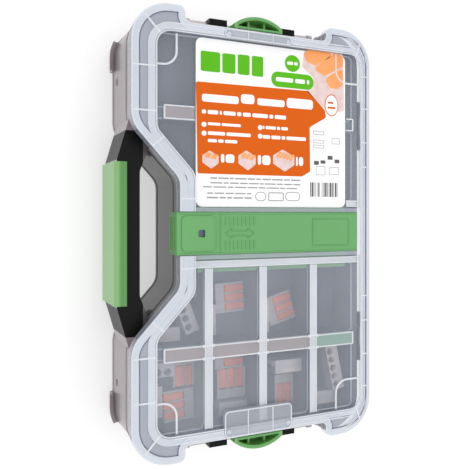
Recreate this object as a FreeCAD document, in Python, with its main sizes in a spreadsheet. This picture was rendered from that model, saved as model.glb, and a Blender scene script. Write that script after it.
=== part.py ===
import FreeCAD, Part
import math
import os
import re
import Sketcher

# A small carry case of lever wire connectors. Millimetres, +Z up, the case flat on its base.
# X runs along the case, -Y is the handle side, +Y the hinge side.
# The origin lies on the standing face, in the middle between the two side latches.

os.makedirs("parts", exist_ok=True)
doc = FreeCAD.newDocument("connector_case")

drivingSizes = {
    # Overall
    "case_length": 260,
    "lid_depth": 154,
    "lid_front": 76,
    "case_height": 64,
    # Plan outline of the lid, which the base and the trays follow
    "handle_proud": 6.5,
    "corner_round": 22,
    "recess_depth": 27.3,
    "recess_outer": 62,
    "recess_inner": 31,
    "recess_outer_round": 18,
    "recess_inner_round": 10,
    "notch_depth": 9,
    "notch_half": 45.5,
    "notch_outer_round": 4,
    "notch_inner_round": 3,
    # Base
    "foot_height": 2.5,
    "floor_thick": 2.5,
    "base_wall": 2.3,
    "base_inset": 1.5,
    "back_inset": 4.8,
    "lid_gap": 0.2,
    "lug_inner": 17,
    "lug_outer": 28,
    "lug_height": 14,
    "weld_depth": 0.5,
    "cut_over": 1,
    "stack_foot_in": 12,
    "lug_set_in": 2,
    "stack_foot_length": 18,
    "stack_foot_height": 8,
    "catch_half": 8,
    "catch_height": 2.5,
    "catch_play": 1,
    # Handle
    "handle_bottom": 13,
    "handle_top": 51,
    "handle_thick": 14.5,
    "handle_end_slant": 5,
    "handle_root_in": 8,
    "handle_root_out": 4,
    "handle_root_back": 15,
    "handle_inner_round": 6,
    "grip_depth": 7,
    "grip_half": 41,
    "grip_wall": 1.4,
    "grip_chamfer": 3,
    # Lid
    "lid_height": 7.8,
    "lid_wall": 1.8,
    "window_drop": 2.5,
    "window_half": 114.5,
    "window_front": 14.5,
    "window_back": 7.2,
    "window_recess": 9.3,
    "window_round": 8,
    "rib_thick": 1.2,
    "rib_gap": 0.5,
    "band_width": 7.2,
    "rail_inner": 13.2,
    "rail_width": 1.8,
    # Slider
    "slider_half": 12.3,
    "slider_back": 9.8,
    "slider_lip": 1.6,
    "slider_drop": 16,
    "slider_travel": 8,
    "slider_gap": 0.3,
    "slider_stem_half": 5.5,
    "slider_stem_front": 18,
    "slider_stem_length": 80,
    "slider_plate_half": 22.8,
    "slider_plate_thick": 1.2,
    "slider_plate_front": 11.7,
    "slider_plate_length": 99,
    "slider_hole": 2.5,
    "slider_hole_in": 14.6,
    "slider_hole_floor": 0.8,
    # Hinge
    "hinge_place": 70,
    "hinge_round": 2.3,
    "hinge_pin": 1,
    "hinge_play": 0.06,
    "hinge_clear": 0.2,
    "knuckle_half": 5.5,
    "knuckle_gap": 0.5,
    "knuckle_length": 10,
    # Side latches
    "latch_half": 15.5,
    "latch_bulge": 5.5,
    "latch_gap": 0.8,
    "latch_wall": 2,
    "latch_drop": 4,
    "latch_top": 1,
    "latch_floor": 1.6,
    "latch_back_wall": 1.4,
    "latch_rib_half": 0.6,
    "latch_rib_drop": 4,
    "latch_rib_gap": 0.2,
    "latch_pin": 1.2,
    "latch_pin_in": 4.5,
    "latch_pin_height": 49,
    "latch_pin_half": 42,
    "latch_collar": 2,
    "latch_collar_length": 3,
    # Trays
    "tray_gap": 0.3,
    "tray_wall": 1.6,
    "tray_floor": 1.2,
    "well_depth": 26,
    "tray_split": 0.4,
    "channel_half": 18,
    "row_middle": 69.3,
    "row_band": 6,
    "row_two_in": 6,
    # Label
    "label_thick": 0.15,
    "label_outer": 113.8,
    "label_inner": 15.5,
    "label_front": 37.2,
    "label_back": 17.2,
    "label_round": 4,
    # Connectors
    "pole_pitch": 5.6,
    "end_walls": 1.9,
    "body_depth": 18.6,
    "body_height": 8.4,
    "port_round": 1.8,
    "port_mouth": 2.3,
    "port_middle": 2.8,
    "port_depth": 8.5,
    "mouth_depth": 1.2,
    "chamber_bottom": 1,
    "chamber_top": 4.7,
    "chamber_front": 8,
    "chamber_back": 1.7,
    "chamber_half": 2.2,
    "lever_half": 2.15,
    "lever_side_gap": 0.2,
    "lever_gap": 0.35,
    "lever_reach": 11.3,
    "lever_round": 1.25,
    "lever_pivot": -2,
    "lever_tip_round": 1.5,
    "lever_lift_length": 2.2,
    "lever_lift_height": 0.9,
    "lever_top_gap": 0.1,
    "trunnion_round": 0.7,
    "trunnion_play": 0.06,
    "trunnion_half": 2.5,
    "trunnion_end_gap": 0.1,
    "bar_thick": 0.8,
    "bar_depth": 5.5,
    "bar_end_wall": 1,
    "bar_gap": 0.2,
    "bar_front_gap": 0.5,
    "leaf_thick": 0.35,
    "leaf_half": 1.8,
    "leaf_gap": 0.3,
    "leaf_overhang": 0.6,
    "leaf_tongue": 1.3,
    "leaf_foot": 1.5,
    "leaf_bend": 1.6,
    "leaf_fold": 2.2,
}

sheet = doc.addObject("Spreadsheet::Sheet", "sizes")
for row, (alias, value) in enumerate(drivingSizes.items(), start=1):
    sheet.set(f"A{row}", alias)
    sheet.set(f"B{row}", str(value))
    sheet.setAlias(f"B{row}", alias)
doc.recompute()


def linked(expression):
    """The expression with each size name pointed at the sheet."""
    return re.sub(r"\b([a-z]+(?:_[a-z]+)+)\b", r"sizes.\1", str(expression))


def size(expression):
    """The number that an expression of sheet sizes comes to."""
    return float(sheet.evalExpression(linked(expression)))


def bind(item, **links):
    """Bind properties to expressions, with x, y and z for the placement."""
    for name, expression in links.items():
        path = f"Placement.Base.{name}" if name in "xyz" else name
        item.setExpression(path, linked(expression))
    return item


def box(name, x, y, z):
    """A block between two expressions along each axis."""
    item = doc.addObject("Part::Box", name)
    bind(item, x=x[0], y=y[0], z=z[0])
    spans = {side: f"({end[1]})-({end[0]})" for side, end in zip(("Length", "Width", "Height"), (x, y, z))}
    return bind(item, **spans)


def rod(name, radius, ends, across, way="x"):
    """A cylinder along one axis, from one end to the other, at two coordinates across it."""
    item = doc.addObject("Part::Cylinder", name)
    lying = {"x": ((0, 1, 0), 90), "y": ((1, 0, 0), -90), "z": ((0, 0, 1), 0)}
    axis, angle = lying[way]
    item.Placement = FreeCAD.Placement(FreeCAD.Vector(), FreeCAD.Rotation(FreeCAD.Vector(*axis), angle))
    others = [axis for axis in "xyz" if axis != way]
    bind(item, Radius=radius, Height=f"({ends[1]})-({ends[0]})")
    return bind(item, **{way: ends[0], others[0]: across[0], others[1]: across[1]})


def fuse(name, shapes):
    item = doc.addObject("Part::MultiFuse", name)
    item.Shapes = shapes
    return item


def cut(name, base, tools):
    item = doc.addObject("Part::Cut", name)
    item.Base = base
    item.Tool = tools[0] if len(tools) == 1 else fuse(name + "_tools", tools)
    return item


def common(name, shapes):
    item = doc.addObject("Part::MultiCommon", name)
    item.Shapes = shapes
    return item


def prism(name, corners, z):
    """A padded sketch between two heights. Each corner is x, y and the round that it gets, or None."""
    body = doc.addObject("PartDesign::Body", name)
    sketch = body.newObject("Sketcher::SketchObject", name + "_outline")
    plane = next(item for item in body.Origin.OriginFeatures if item.Role == "XY_Plane")
    sketch.AttachmentSupport = [(plane, "")]
    sketch.MapMode = "FlatFace"
    sketch.setExpression("AttachmentOffset.Base.z", linked(z[0]))
    places = [FreeCAD.Vector(size(corner[0]), size(corner[1]), 0) for corner in corners]
    count = len(places)
    sides = [Part.LineSegment(places[i], places[(i + 1) % count]) for i in range(count)]
    sketch.addGeometry(sides, False)
    joins = [Sketcher.Constraint("Coincident", i, 2, (i + 1) % count, 1) for i in range(count)]
    sketch.addConstraint(joins)
    for i, corner in enumerate(corners):
        for kind, expression in zip(("DistanceX", "DistanceY"), corner):
            link = sketch.addConstraint(Sketcher.Constraint(kind, -1, 1, i, 1, size(expression)))
            sketch.setExpression(f"Constraints[{link}]", linked(expression))
    pad = body.newObject("PartDesign::Pad", name + "_pad")
    pad.Profile = sketch
    pad.setExpression("Length", linked(f"({z[1]})-({z[0]})"))
    doc.recompute()
    tip = pad
    for radius in sorted({corner[2] for corner in corners if corner[2]}):
        spots = [places[i] for i, corner in enumerate(corners) if corner[2] == radius]
        rounded = body.newObject("PartDesign::Fillet", f"{name}_round")
        rounded.Base = (tip, uprightEdges(tip.Shape, spots))
        rounded.setExpression("Radius", linked(radius))
        doc.recompute()
        tip = rounded
    return body


def uprightEdges(shape, spots):
    """The names of the upright straight edges that stand at the given plan points."""
    names = []
    for i, edge in enumerate(shape.Edges, start=1):
        ends = [vertex.Point for vertex in edge.Vertexes]
        upright = len(ends) == 2 and math.hypot(ends[0].x - ends[1].x, ends[0].y - ends[1].y) < 1e-6
        near = upright and any(math.hypot(ends[0].x - spot.x, ends[0].y - spot.y) < 1e-4 for spot in spots)
        if near:
            names.append(f"Edge{i}")
    return names


def mirrored(half):
    """A closed outline from its +X half, listed from the front middle to the back."""
    return half + [(f"-({x})", y, radius) for x, y, radius in reversed(half)]


# Places that several pieces share, as expressions of the sheet's sizes
halfLength = "case_length/2"
lidFront = "(-lid_front)"
lidBack = "(lid_depth-lid_front)"
recessEdge = f"({lidFront}+recess_depth)"
lidBottom = "(case_height-lid_height)"
baseTop = f"({lidBottom}-lid_gap)"
baseFloor = "(foot_height+floor_thick)"
panelTop = "(case_height-window_drop)"
panelBottom = f"({panelTop}-lid_wall)"
notchWall = f"({halfLength}-notch_depth)"
recessLean = "tan(atan(recess_depth/(recess_outer-recess_inner))/2)"
hingeY = f"({lidBack}-hinge_round)"
hingeZ = f"({baseTop}-hinge_round-hinge_clear)"


def caseOutline(inset, backInset):
    """The case's plan outline, moved in by one inset all round and by another at the back."""
    def outer(radius):
        return f"max({radius}-({inset});0.4)"

    def inner(radius):
        return f"{radius}+{inset}"

    return mirrored([
        (f"recess_inner+({inset})*{recessLean}", f"{recessEdge}+{inset}", inner("recess_inner_round")),
        (f"recess_outer+({inset})*{recessLean}", f"{lidFront}+{inset}", outer("recess_outer_round")),
        (f"{halfLength}-({inset})", f"{lidFront}+{inset}", outer("corner_round")),
        (f"{halfLength}-({inset})", f"-notch_half-({inset})", outer("notch_outer_round")),
        (f"{notchWall}-({inset})", f"-notch_half-({inset})", inner("notch_inner_round")),
        (f"{notchWall}-({inset})", f"notch_half+{inset}", inner("notch_inner_round")),
        (f"{halfLength}-({inset})", f"notch_half+{inset}", outer("notch_outer_round")),
        (f"{halfLength}-({inset})", f"{lidBack}-({backInset})", outer("corner_round")),
    ])


def windowOutline(inset):
    """The sunk panel of the lid, which follows the handle recess."""
    lean = f"(window_recess+({inset}))*{recessLean}"
    front = f"{lidFront}+window_front+{inset}"
    edge = f"{recessEdge}+window_recess+{inset}"
    # The slanted side keeps its slope, so the corner on the front line slides along it.
    slope = "(recess_outer-recess_inner)/recess_depth"
    return mirrored([
        (f"recess_inner+{lean}", edge, f"recess_inner_round+{inset}"),
        (f"recess_inner+{lean}+(({edge})-({front}))*{slope}", front, f"window_round-({inset})"),
        (f"window_half-({inset})", front, f"window_round-({inset})"),
        (f"window_half-({inset})", f"{lidBack}-window_back-({inset})", f"window_round-({inset})"),
    ])


def makeBase():
    shell = prism("base_outer", caseOutline("base_inset", "back_inset"), ("foot_height", baseTop))
    hollow = prism(
        "base_hollow",
        caseOutline("(base_inset+base_wall)", "back_inset+base_wall"),
        (baseFloor, f"{baseTop}+cut_over"),
    )
    foot = prism("base_foot", windowOutline("1"), ("0", "foot_height+weld_depth"))
    handle = prism("handle_bar", mirrored([
        ("grip_half-handle_end_slant", f"{lidFront}-handle_proud+handle_thick", "handle_inner_round"),
        ("recess_outer-handle_root_in", f"{lidFront}+handle_root_back", None),
        ("recess_outer+handle_root_out", f"{lidFront}+base_inset+weld_depth", None),
        ("grip_half", f"{lidFront}-handle_proud+grip_wall", None),
    ]), ("handle_bottom+grip_wall", "handle_top-grip_wall"))
    wallBack = f"{lidBack}-back_inset"
    added = [handle, foot]
    removed = [hollow]
    for side in (-1, 1):
        for end in (-1, 1):
            lugY = sorted((f"{end}*lug_inner", f"{end}*lug_outer"), key=size)
            lugNear = f"{side}*({notchWall}-base_inset-weld_depth)"
            lugX = sorted((lugNear, f"{side}*({halfLength}-lug_set_in)"), key=size)
            lugZ = (f"{baseTop}-lug_set_in-lug_height", f"{baseTop}-lug_set_in")
            added.append(box("latch_lug", lugX, lugY, lugZ))
            near = f"{side}*hinge_place+{end}*(knuckle_half+knuckle_gap)"
            far = f"{near}+{end}*knuckle_length"
            span = sorted((near, far), key=size)
            added.append(rod("base_knuckle", "hinge_round", span, (hingeY, hingeZ)))
            webY = (f"{wallBack}-weld_depth", hingeY)
            added.append(box("knuckle_web", span, webY, (f"{hingeZ}-hinge_round", hingeZ)))
        footEnd = f"({halfLength}-stack_foot_in)"
        footX = sorted((f"{side}*{footEnd}", f"{side}*({footEnd}-stack_foot_length)"), key=size)
        footY = (lidFront, f"{lidFront}+corner_round")
        footZ = ("foot_height", "foot_height+stack_foot_height")
        footSpan = box("stack_foot_span", footX, footY, footZ)
        footFace = prism("stack_foot_face", caseOutline("0", "0"), footZ)
        added.append(cut("stack_foot", common("stack_foot_round", [footSpan, footFace]), [hollow]))
        pinX = f"{side}*({halfLength}-latch_pin_in)"
        pinY = ("-lug_outer-cut_over", "lug_outer+cut_over")
        removed.append(rod("latch_pin_hole", "latch_pin", pinY, (pinX, "latch_pin_height"), "y"))
        reach = "(knuckle_half+knuckle_gap+knuckle_length+cut_over)"
        pinSpan = [f"{side}*hinge_place+{end}*{reach}" for end in (-1, 1)]
        removed.append(rod("hinge_pin_hole", "hinge_pin", pinSpan, (hingeY, hingeZ)))
    catchTop = "(case_height-slider_drop+catch_height+catch_play)"
    catchY = (f"{recessEdge}+slider_gap", f"{recessEdge}+base_inset+weld_depth")
    catchZ = (f"{catchTop}-catch_height", catchTop)
    added.append(box("slider_catch", ("-catch_half", "catch_half"), catchY, catchZ))
    whole = fuse("base_whole", [shell] + added)
    return cut("base_shell", whole, removed)


def makeGrip():
    outer = f"{lidFront}-handle_proud"
    ends = ("-grip_half", "grip_half")
    cover = box("grip_cover", ends, (outer, f"{outer}+grip_depth"), ("handle_bottom", "handle_top"))
    softened = doc.addObject("Part::Chamfer", "grip_softened")
    softened.Base = cover
    doc.recompute()
    front = size(outer)
    edges = []
    for i, edge in enumerate(cover.Shape.Edges, start=1):
        ends = [vertex.Point for vertex in edge.Vertexes]
        if all(abs(point.y - front) < 1e-6 for point in ends) and abs(ends[0].x - ends[1].x) > 1:
            edges.append((i, size("grip_chamfer*0.45"), size("grip_chamfer*0.45")))
    softened.Edges = edges
    return cut("handle_grip", softened, [box(
        "grip_hollow",
        ("-grip_half-cut_over", "grip_half+cut_over"),
        (f"{outer}+grip_wall", f"{outer}+handle_thick"),
        ("handle_bottom+grip_wall", "handle_top-grip_wall"),
    )])


def makeLid():
    slab = prism("lid_slab", caseOutline("0", "0"), (lidBottom, "case_height"))
    hollowZ = (f"{lidBottom}-cut_over", "case_height-lid_wall")
    hollow = prism("lid_hollow", caseOutline("lid_wall", "lid_wall"), hollowZ)
    panel = prism("lid_panel", windowOutline("-lid_wall"), (panelBottom, "case_height"))
    window = prism("lid_window", windowOutline("0"), (panelTop, "case_height+cut_over"))
    channelBack = f"{lidBack}-slider_back+slider_gap"
    channel = box(
        "slider_channel",
        ("-slider_half-slider_gap", "slider_half+slider_gap"),
        (f"{recessEdge}-cut_over", channelBack),
        (panelTop, "case_height+cut_over"),
    )
    bridge = box(
        "channel_floor",
        ("-rail_inner-rail_width", "rail_inner+rail_width"),
        (f"{recessEdge}+weld_depth", f"{lidBack}-window_back+weld_depth"),
        (panelBottom, "case_height"),
    )
    slot = box(
        "stem_slot",
        ("-slider_stem_half-slider_gap", "slider_stem_half+slider_gap"),
        (f"{stemFront}-slider_travel-slider_gap", f"{stemFront}+slider_stem_length+slider_gap"),
        (f"{panelBottom}-cut_over", f"{panelTop}+cut_over"),
    )
    added = [bridge]
    ribBottom = f"{baseTop}+rib_gap"
    for side in (-1, 1):
        for column in (1, 2, 3):
            middle = trayLine(column)
            ribX = sorted((f"{side}*(slider_plate_half+1)", f"{side}*(window_half-1)"), key=size)
            ribY = (f"{middle}-rib_thick/2", f"{middle}+rib_thick/2")
            added.append(box("press_rib", ribX, ribY, (ribBottom, f"{panelBottom}+0.3")))
        for line in (-1, 1):
            ribMiddle = f"{side}*(row_middle+{line}*band_width/2)"
            ribX = (f"{ribMiddle}-rib_thick/2", f"{ribMiddle}+rib_thick/2")
            ribY = (f"{lidFront}+window_front+4", f"{lidBack}-window_back-4")
            added.append(box("row_rib", ribX, ribY, (f"{ribBottom}+1.5", f"{panelBottom}+0.3")))
        knuckleX = [f"{side}*hinge_place+{end}*knuckle_half" for end in (-1, 1)]
        added.append(rod("lid_knuckle", "hinge_round", knuckleX, (hingeY, hingeZ)))
        webY = (f"{hingeY}-hinge_round", f"{hingeY}+hinge_round")
        added.append(box("lid_web", knuckleX, webY, (hingeZ, f"{lidBottom}+1.5")))
    cavity = cut("lid_cavity", hollow, [panel])
    skin = cut("lid_skin", slab, [cavity, window])
    whole = fuse("lid_whole", [skin] + added)
    holes = [channel, slot]
    for side in (-1, 1):
        span = [f"{side}*hinge_place+{end}*(knuckle_half+1)" for end in (-1, 1)]
        holes.append(rod("lid_pin_hole", "hinge_pin+hinge_play", span, (hingeY, hingeZ)))
    return cut("lid_shell", whole, holes)


def makeSlider():
    front = f"{recessEdge}-slider_gap-slider_lip"
    top = box(
        "slider_bar",
        ("-slider_half", "slider_half"),
        (front, f"{lidBack}-slider_back"),
        (f"{panelTop}+slider_gap", "case_height"),
    )
    lip = box(
        "slider_lip_plate",
        ("-slider_half", "slider_half"),
        (front, f"{front}+slider_lip"),
        ("case_height-slider_drop", "case_height"),
    )
    plateTop = f"({panelBottom}-slider_gap)"
    stem = box(
        "slider_stem",
        ("-slider_stem_half", "slider_stem_half"),
        (stemFront, f"{stemFront}+slider_stem_length"),
        (f"{plateTop}-slider_plate_thick", f"{panelTop}+slider_gap+weld_depth"),
    )
    plateFront = f"{recessEdge}+slider_plate_front"
    plate = box(
        "slider_plate",
        ("-slider_plate_half", "slider_plate_half"),
        (plateFront, f"{plateFront}+slider_plate_length"),
        (f"{plateTop}-slider_plate_thick", plateTop),
    )
    hole = rod(
        "slider_eye",
        "slider_hole",
        (f"{panelTop}+slider_gap+slider_hole_floor", "case_height+cut_over"),
        ("0", f"{front}+slider_hole_in"),
        "z",
    )
    return cut("lid_slider", fuse("slider_whole", [top, lip, stem, plate]), [hole])


def makeLatch(name, side):
    """A scooped lobe with a bowed outer wall, two ribs inside and a cross hole for its pin."""
    inner = f"({notchWall}+latch_gap)"
    bow = "(latch_half^2+latch_bulge^2)/(2*latch_bulge)"
    bottom = "latch_pin_height-latch_drop"
    top = "case_height-latch_top"
    spanX = sorted((f"{side}*{inner}", f"{side}*{halfLength}"), key=size)
    block = box("latch_block", spanX, ("-latch_half", "latch_half"), (bottom, top))
    barrel = rod("latch_bow", bow, (bottom, top), (f"{side}*({halfLength}-{bow})", "0"), "z")
    lobe = common("latch_lobe", [block, barrel])
    scoopFloor = "latch_pin_height+latch_pin+latch_floor"
    scoopX = sorted((f"{side}*({inner}+latch_back_wall)", f"{side}*{halfLength}"), key=size)
    scoopSpan = ("latch_wall-latch_half", "latch_half-latch_wall")
    scoopBlock = box("scoop_block", scoopX, scoopSpan, (scoopFloor, "case_height"))
    scoopZ = (scoopFloor, "case_height")
    scoopBow = rod("scoop_bow", f"{bow}-latch_wall", scoopZ, (f"{side}*({halfLength}-{bow})", "0"), "z")
    scoop = common("latch_scoop", [scoopBlock, scoopBow])
    hollow = cut("latch_open", lobe, [scoop])
    ribs = []
    for place in ("-latch_half/3", "latch_half/3"):
        ribEnd = f"({halfLength}-latch_wall-latch_rib_gap)"
        ribX = sorted((f"{side}*({inner}+latch_back_wall-weld_depth)", f"{side}*{ribEnd}"), key=size)
        ribY = (f"{place}-latch_rib_half", f"{place}+latch_rib_half")
        ribs.append(box("latch_rib", ribX, ribY, (f"{scoopFloor}-weld_depth", f"{top}-latch_rib_drop")))
    hole = rod(
        "latch_hole",
        "latch_pin+hinge_play",
        ("-latch_half-cut_over", "latch_half+cut_over"),
        (f"{side}*({halfLength}-latch_pin_in)", "latch_pin_height"),
        "y",
    )
    return cut(name, fuse(name + "_whole", [hollow] + ribs), [hole])


def makeLatchPin(name, side):
    across = (f"{side}*({halfLength}-latch_pin_in)", "latch_pin_height")
    pieces = [rod("latch_rod", "latch_pin", ("-latch_pin_half", "latch_pin_half"), across, "y")]
    for end in (-1, 1):
        span = sorted((f"{end}*latch_pin_half", f"{end}*(latch_pin_half-latch_collar_length)"), key=size)
        pieces.append(rod("latch_rod_end", "latch_collar", span, across, "y"))
    return fuse(name, pieces)


def makeHingePin(name, side):
    reach = "(knuckle_half+knuckle_gap+knuckle_length)"
    span = (f"{side}*hinge_place-{reach}", f"{side}*hinge_place+{reach}")
    return rod(name, "hinge_pin", span, (hingeY, hingeZ))


stemFront = f"({recessEdge}+slider_stem_front)"
trayFront = f"({lidFront}+base_inset+base_wall+tray_gap)"
trayBack = f"({lidBack}-back_inset-base_wall-tray_gap)"


wellFloor = f"({baseTop}-well_depth)"
underTop = f"({wellFloor}-tray_floor)"


def trayLine(column):
    """The middle of the wall before the given column of compartments, counted from the handle side."""
    first = f"({lidFront}+window_front-3.8)"
    last = f"({lidBack}-window_back+1.1)"
    return f"({first}+({last}-{first})*{column}/4)"


def makeTray(name, side):
    """Half of the insert: eight compartments in four columns of two, and half of the middle channel."""
    inset = "(base_inset+base_wall+tray_gap)"
    back = "back_inset+base_wall+tray_gap"
    tall = (baseFloor, baseTop)
    outer = prism(name + "_outer", caseOutline(inset, back), tall)
    space = prism(
        name + "_space",
        caseOutline(f"({inset}+tray_wall)", f"{back}+tray_wall"),
        (baseFloor, f"{baseTop}+cut_over"),
    )
    halfX = sorted((f"{side}*tray_split", f"{side}*{halfLength}"), key=size)
    halfBlock = box(name + "_side", halfX, (f"{trayFront}-cut_over", f"{trayBack}+cut_over"), tall)
    half = common(name + "_half", [outer, halfBlock])
    rows = [
        ("channel_half+tray_wall", "row_middle-row_band/2"),
        ("row_middle+row_band/2", f"{halfLength}"),
    ]
    cells = []
    for row in rows:
        for column in range(4):
            cellX = sorted((f"{side}*({row[0]})", f"{side}*({row[1]})"), key=size)
            cellY = (f"{trayLine(column)}+tray_wall/2", f"{trayLine(column + 1)}-tray_wall/2")
            cells.append(box("compartment", cellX, cellY, (wellFloor, f"{baseTop}+cut_over")))
    pockets = common(name + "_pockets", [fuse(name + "_cells", cells), space])
    underX = sorted((f"{side}*(tray_split+tray_wall)", f"{side}*{halfLength}"), key=size)
    underY = (f"{trayFront}-cut_over", f"{trayBack}+cut_over")
    underBlock = box(name + "_under", underX, underY, (f"{baseFloor}-cut_over", underTop))
    inside = prism(
        name + "_inside",
        caseOutline(f"({inset}+tray_wall)", f"{back}+tray_wall"),
        (f"{baseFloor}-cut_over", baseTop),
    )
    under = common(name + "_hollow", [underBlock, inside])
    raised = (f"{underTop}-cut_over", f"{baseTop}-tray_wall")
    channelX = sorted((f"{side}*(tray_split+tray_wall)", f"{side}*channel_half"), key=size)
    channelY = (f"{recessEdge}+base_inset+base_wall+tray_gap+tray_wall", f"{trayBack}-tray_wall")
    bandHalf = "(row_band/2-tray_wall)"
    bandX = sorted((f"{side}*(row_middle-{bandHalf})", f"{side}*(row_middle+{bandHalf})"), key=size)
    bandY = (f"{trayLine(0)}+tray_wall", f"{trayBack}-tray_wall")
    gutters = [
        box(name + "_channel", channelX, channelY, raised),
        box(name + "_gutter", bandX, bandY, raised),
    ]
    return cut(name, half, [pockets, under] + gutters)


def makeLabel():
    spanX = ("-label_outer", "-label_inner")
    spanY = (f"{lidFront}+label_front", f"{lidBack}-label_back")
    around = zip(spanX + spanX[::-1], (spanY[0], spanY[0], spanY[1], spanY[1]))
    corners = [(x, y, "label_round") for x, y in around]
    return prism("label_sheet", corners, (panelTop, f"{panelTop}+label_thick"))


# Loose connectors. Each type is built once about its own bottom middle, wire side at -Y,
# with each lever hinged near the wire side and its tip at the back.
bodyBack = "body_depth/2"
pivotZ = "(body_height-lever_round-0.05)"
leverBottom = "(body_height-2*lever_round)"
slotFloor = f"({leverBottom}-lever_gap)"


def poleX(poles, pole):
    return f"pole_pitch*({pole}-({poles}-1)/2)"


def makeHousing(name, poles):
    half = f"({poles}*pole_pitch+end_walls)/2"
    front = f"-{bodyBack}"
    block = box(name + "_block", (f"-{half}", half), (front, bodyBack), ("0", "body_height"))
    removed = []
    for pole in range(poles):
        middle = poleX(poles, pole)
        slotHalf = "(lever_half+lever_side_gap)"
        removed.append(box(
            "lever_slot",
            (f"{middle}-{slotHalf}", f"{middle}+{slotHalf}"),
            ("lever_pivot-lever_round-lever_gap", f"{bodyBack}+cut_over"),
            (slotFloor, "body_height+cut_over"),
        ))
        removed.append(rod(
            "trunnion_hole",
            "trunnion_round+trunnion_play",
            (f"{middle}-trunnion_half-trunnion_end_gap", f"{middle}+trunnion_half+trunnion_end_gap"),
            ("lever_pivot", pivotZ),
        ))
        portY = (f"{front}-cut_over", f"{front}+port_depth")
        removed.append(rod("wire_port", "port_round", portY, (middle, "port_middle"), "y"))
        mouth = doc.addObject("Part::Cone", "port_funnel")
        mouth.Placement = FreeCAD.Placement(FreeCAD.Vector(), FreeCAD.Rotation(FreeCAD.Vector(1, 0, 0), -90))
        bind(mouth, Radius1="port_mouth", Radius2="port_round", Height="mouth_depth")
        removed.append(bind(mouth, x=middle, y=front, z="port_middle"))
        removed.append(box(
            "spring_chamber",
            (f"{middle}-chamber_half", f"{middle}+chamber_half"),
            (f"{front}+chamber_front", f"{bodyBack}-chamber_back"),
            ("chamber_bottom", "chamber_top"),
        ))
    removed.append(box(
        "bar_slot",
        (f"bar_end_wall-{half}", f"{half}-bar_end_wall"),
        (f"{bodyBack}-chamber_back-bar_depth-bar_front_gap", f"{bodyBack}-chamber_back"),
        ("chamber_bottom", "chamber_bottom+bar_thick"),
    ))
    return cut(name, block, removed)


def makeBar(name, poles):
    half = f"(({poles}*pole_pitch+end_walls)/2-bar_end_wall-bar_gap)"
    back = f"{bodyBack}-chamber_back-bar_gap"
    ends = (f"-{half}", half)
    barZ = ("chamber_bottom", "chamber_bottom+bar_thick")
    strip = box("bar_strip", ends, (f"{back}-bar_depth", back), barZ)
    tongues = []
    for pole in range(poles):
        middle = poleX(poles, pole)
        tongueX = (f"{middle}-leaf_half", f"{middle}+leaf_half")
        tongueY = (f"{back}-bar_depth-cut_over", f"{back}-bar_depth+weld_depth")
        tongues.append(box("bar_tongue", tongueX, tongueY, barZ))
    return fuse(name, [strip] + tongues)


def makeLeaf(name, poles):
    """One bent clamping leaf per pole: foot on the bar, up the back, over and down to the bar's front."""
    thick = size("leaf_thick")
    foot = size("chamber_bottom+bar_thick")
    roof = size("chamber_top-leaf_gap")
    back = size(f"{bodyBack}-chamber_back-leaf_gap")
    front = back - size("bar_depth+leaf_overhang")
    heel = front + size("leaf_foot")
    path = [
        (heel, foot),
        (back, foot),
        (back, roof),
        (front, roof),
        (front, roof - thick),
        (back - size("leaf_fold"), foot + 2 * thick),
        (back - size("leaf_bend"), foot + 2 * thick),
        (front + size("leaf_tongue"), roof - thick),
        (back - thick, roof - thick),
        (back - thick, foot + thick),
        (heel, foot + thick),
    ]
    leaves = []
    for pole in range(poles):
        left = size(f"{poleX(poles, pole)}-leaf_half")
        points = [FreeCAD.Vector(left, y, z) for y, z in path]
        face = Part.Face(Part.makePolygon(points + points[:1]))
        leaves.append(face.extrude(FreeCAD.Vector(2 * size("leaf_half"), 0, 0)))
    item = doc.addObject("Part::Feature", name)
    item.Shape = Part.makeCompound(leaves)
    return item


def makeLever(name, poles, pole):
    """A flat lever with a rolled pivot end, two trunnions and a lifted fingertip."""
    middle = poleX(poles, pole)
    sides = (f"{middle}-lever_half", f"{middle}+lever_half")
    tip = "(lever_pivot+lever_reach)"
    plate = box("lever_plate", sides, ("lever_pivot", tip), (leverBottom, "body_height-lever_top_gap"))
    doc.recompute()
    tipEdges = [
        i for i, edge in enumerate(plate.Shape.Edges, start=1)
        if all(vertex.Y > size(tip) - 1e-6 for vertex in edge.Vertexes)
        and abs(edge.Vertexes[0].Z - edge.Vertexes[1].Z) > 1
    ]
    blade = doc.addObject("Part::Fillet", "lever_blade")
    blade.Base = plate
    blade.Edges = [(i, size("lever_tip_round"), size("lever_tip_round")) for i in tipEdges]
    liftY = (f"{tip}-lever_lift_length", f"{tip}+cut_over")
    under = box("lever_relief", sides, liftY, (f"{leverBottom}-cut_over", f"{leverBottom}+lever_lift_height"))
    barrel = rod("lever_barrel", "lever_round", sides, ("lever_pivot", pivotZ))
    trunnionX = (f"{middle}-trunnion_half", f"{middle}+trunnion_half")
    trunnion = rod("lever_trunnion", "trunnion_round", trunnionX, ("lever_pivot", pivotZ))
    return fuse(name, [cut(name + "_plate", blade, [under]), barrel, trunnion])


def compartmentMiddle(column, row):
    """The middle of a compartment's floor in the +X half."""
    rowMiddles = {
        1: "(channel_half+tray_wall+row_middle-row_band/2)/2",
        2: f"(row_middle+row_band/2+{notchWall}-row_two_in)/2",
    }
    x = rowMiddles[row]
    y = f"({trayLine(column - 1)}+{trayLine(column)})/2"
    return FreeCAD.Vector(size(x), size(y), size(wellFloor))


def flat(column, row, x, y, turn, side=1):
    """A connector lying flat in a compartment, by its offset from the middle, its turn and its half."""
    place = compartmentMiddle(column, row) + FreeCAD.Vector(x, y, 0)
    place.x *= side
    return FreeCAD.Placement(place, FreeCAD.Rotation(FreeCAD.Vector(0, 0, 1), turn))


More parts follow.
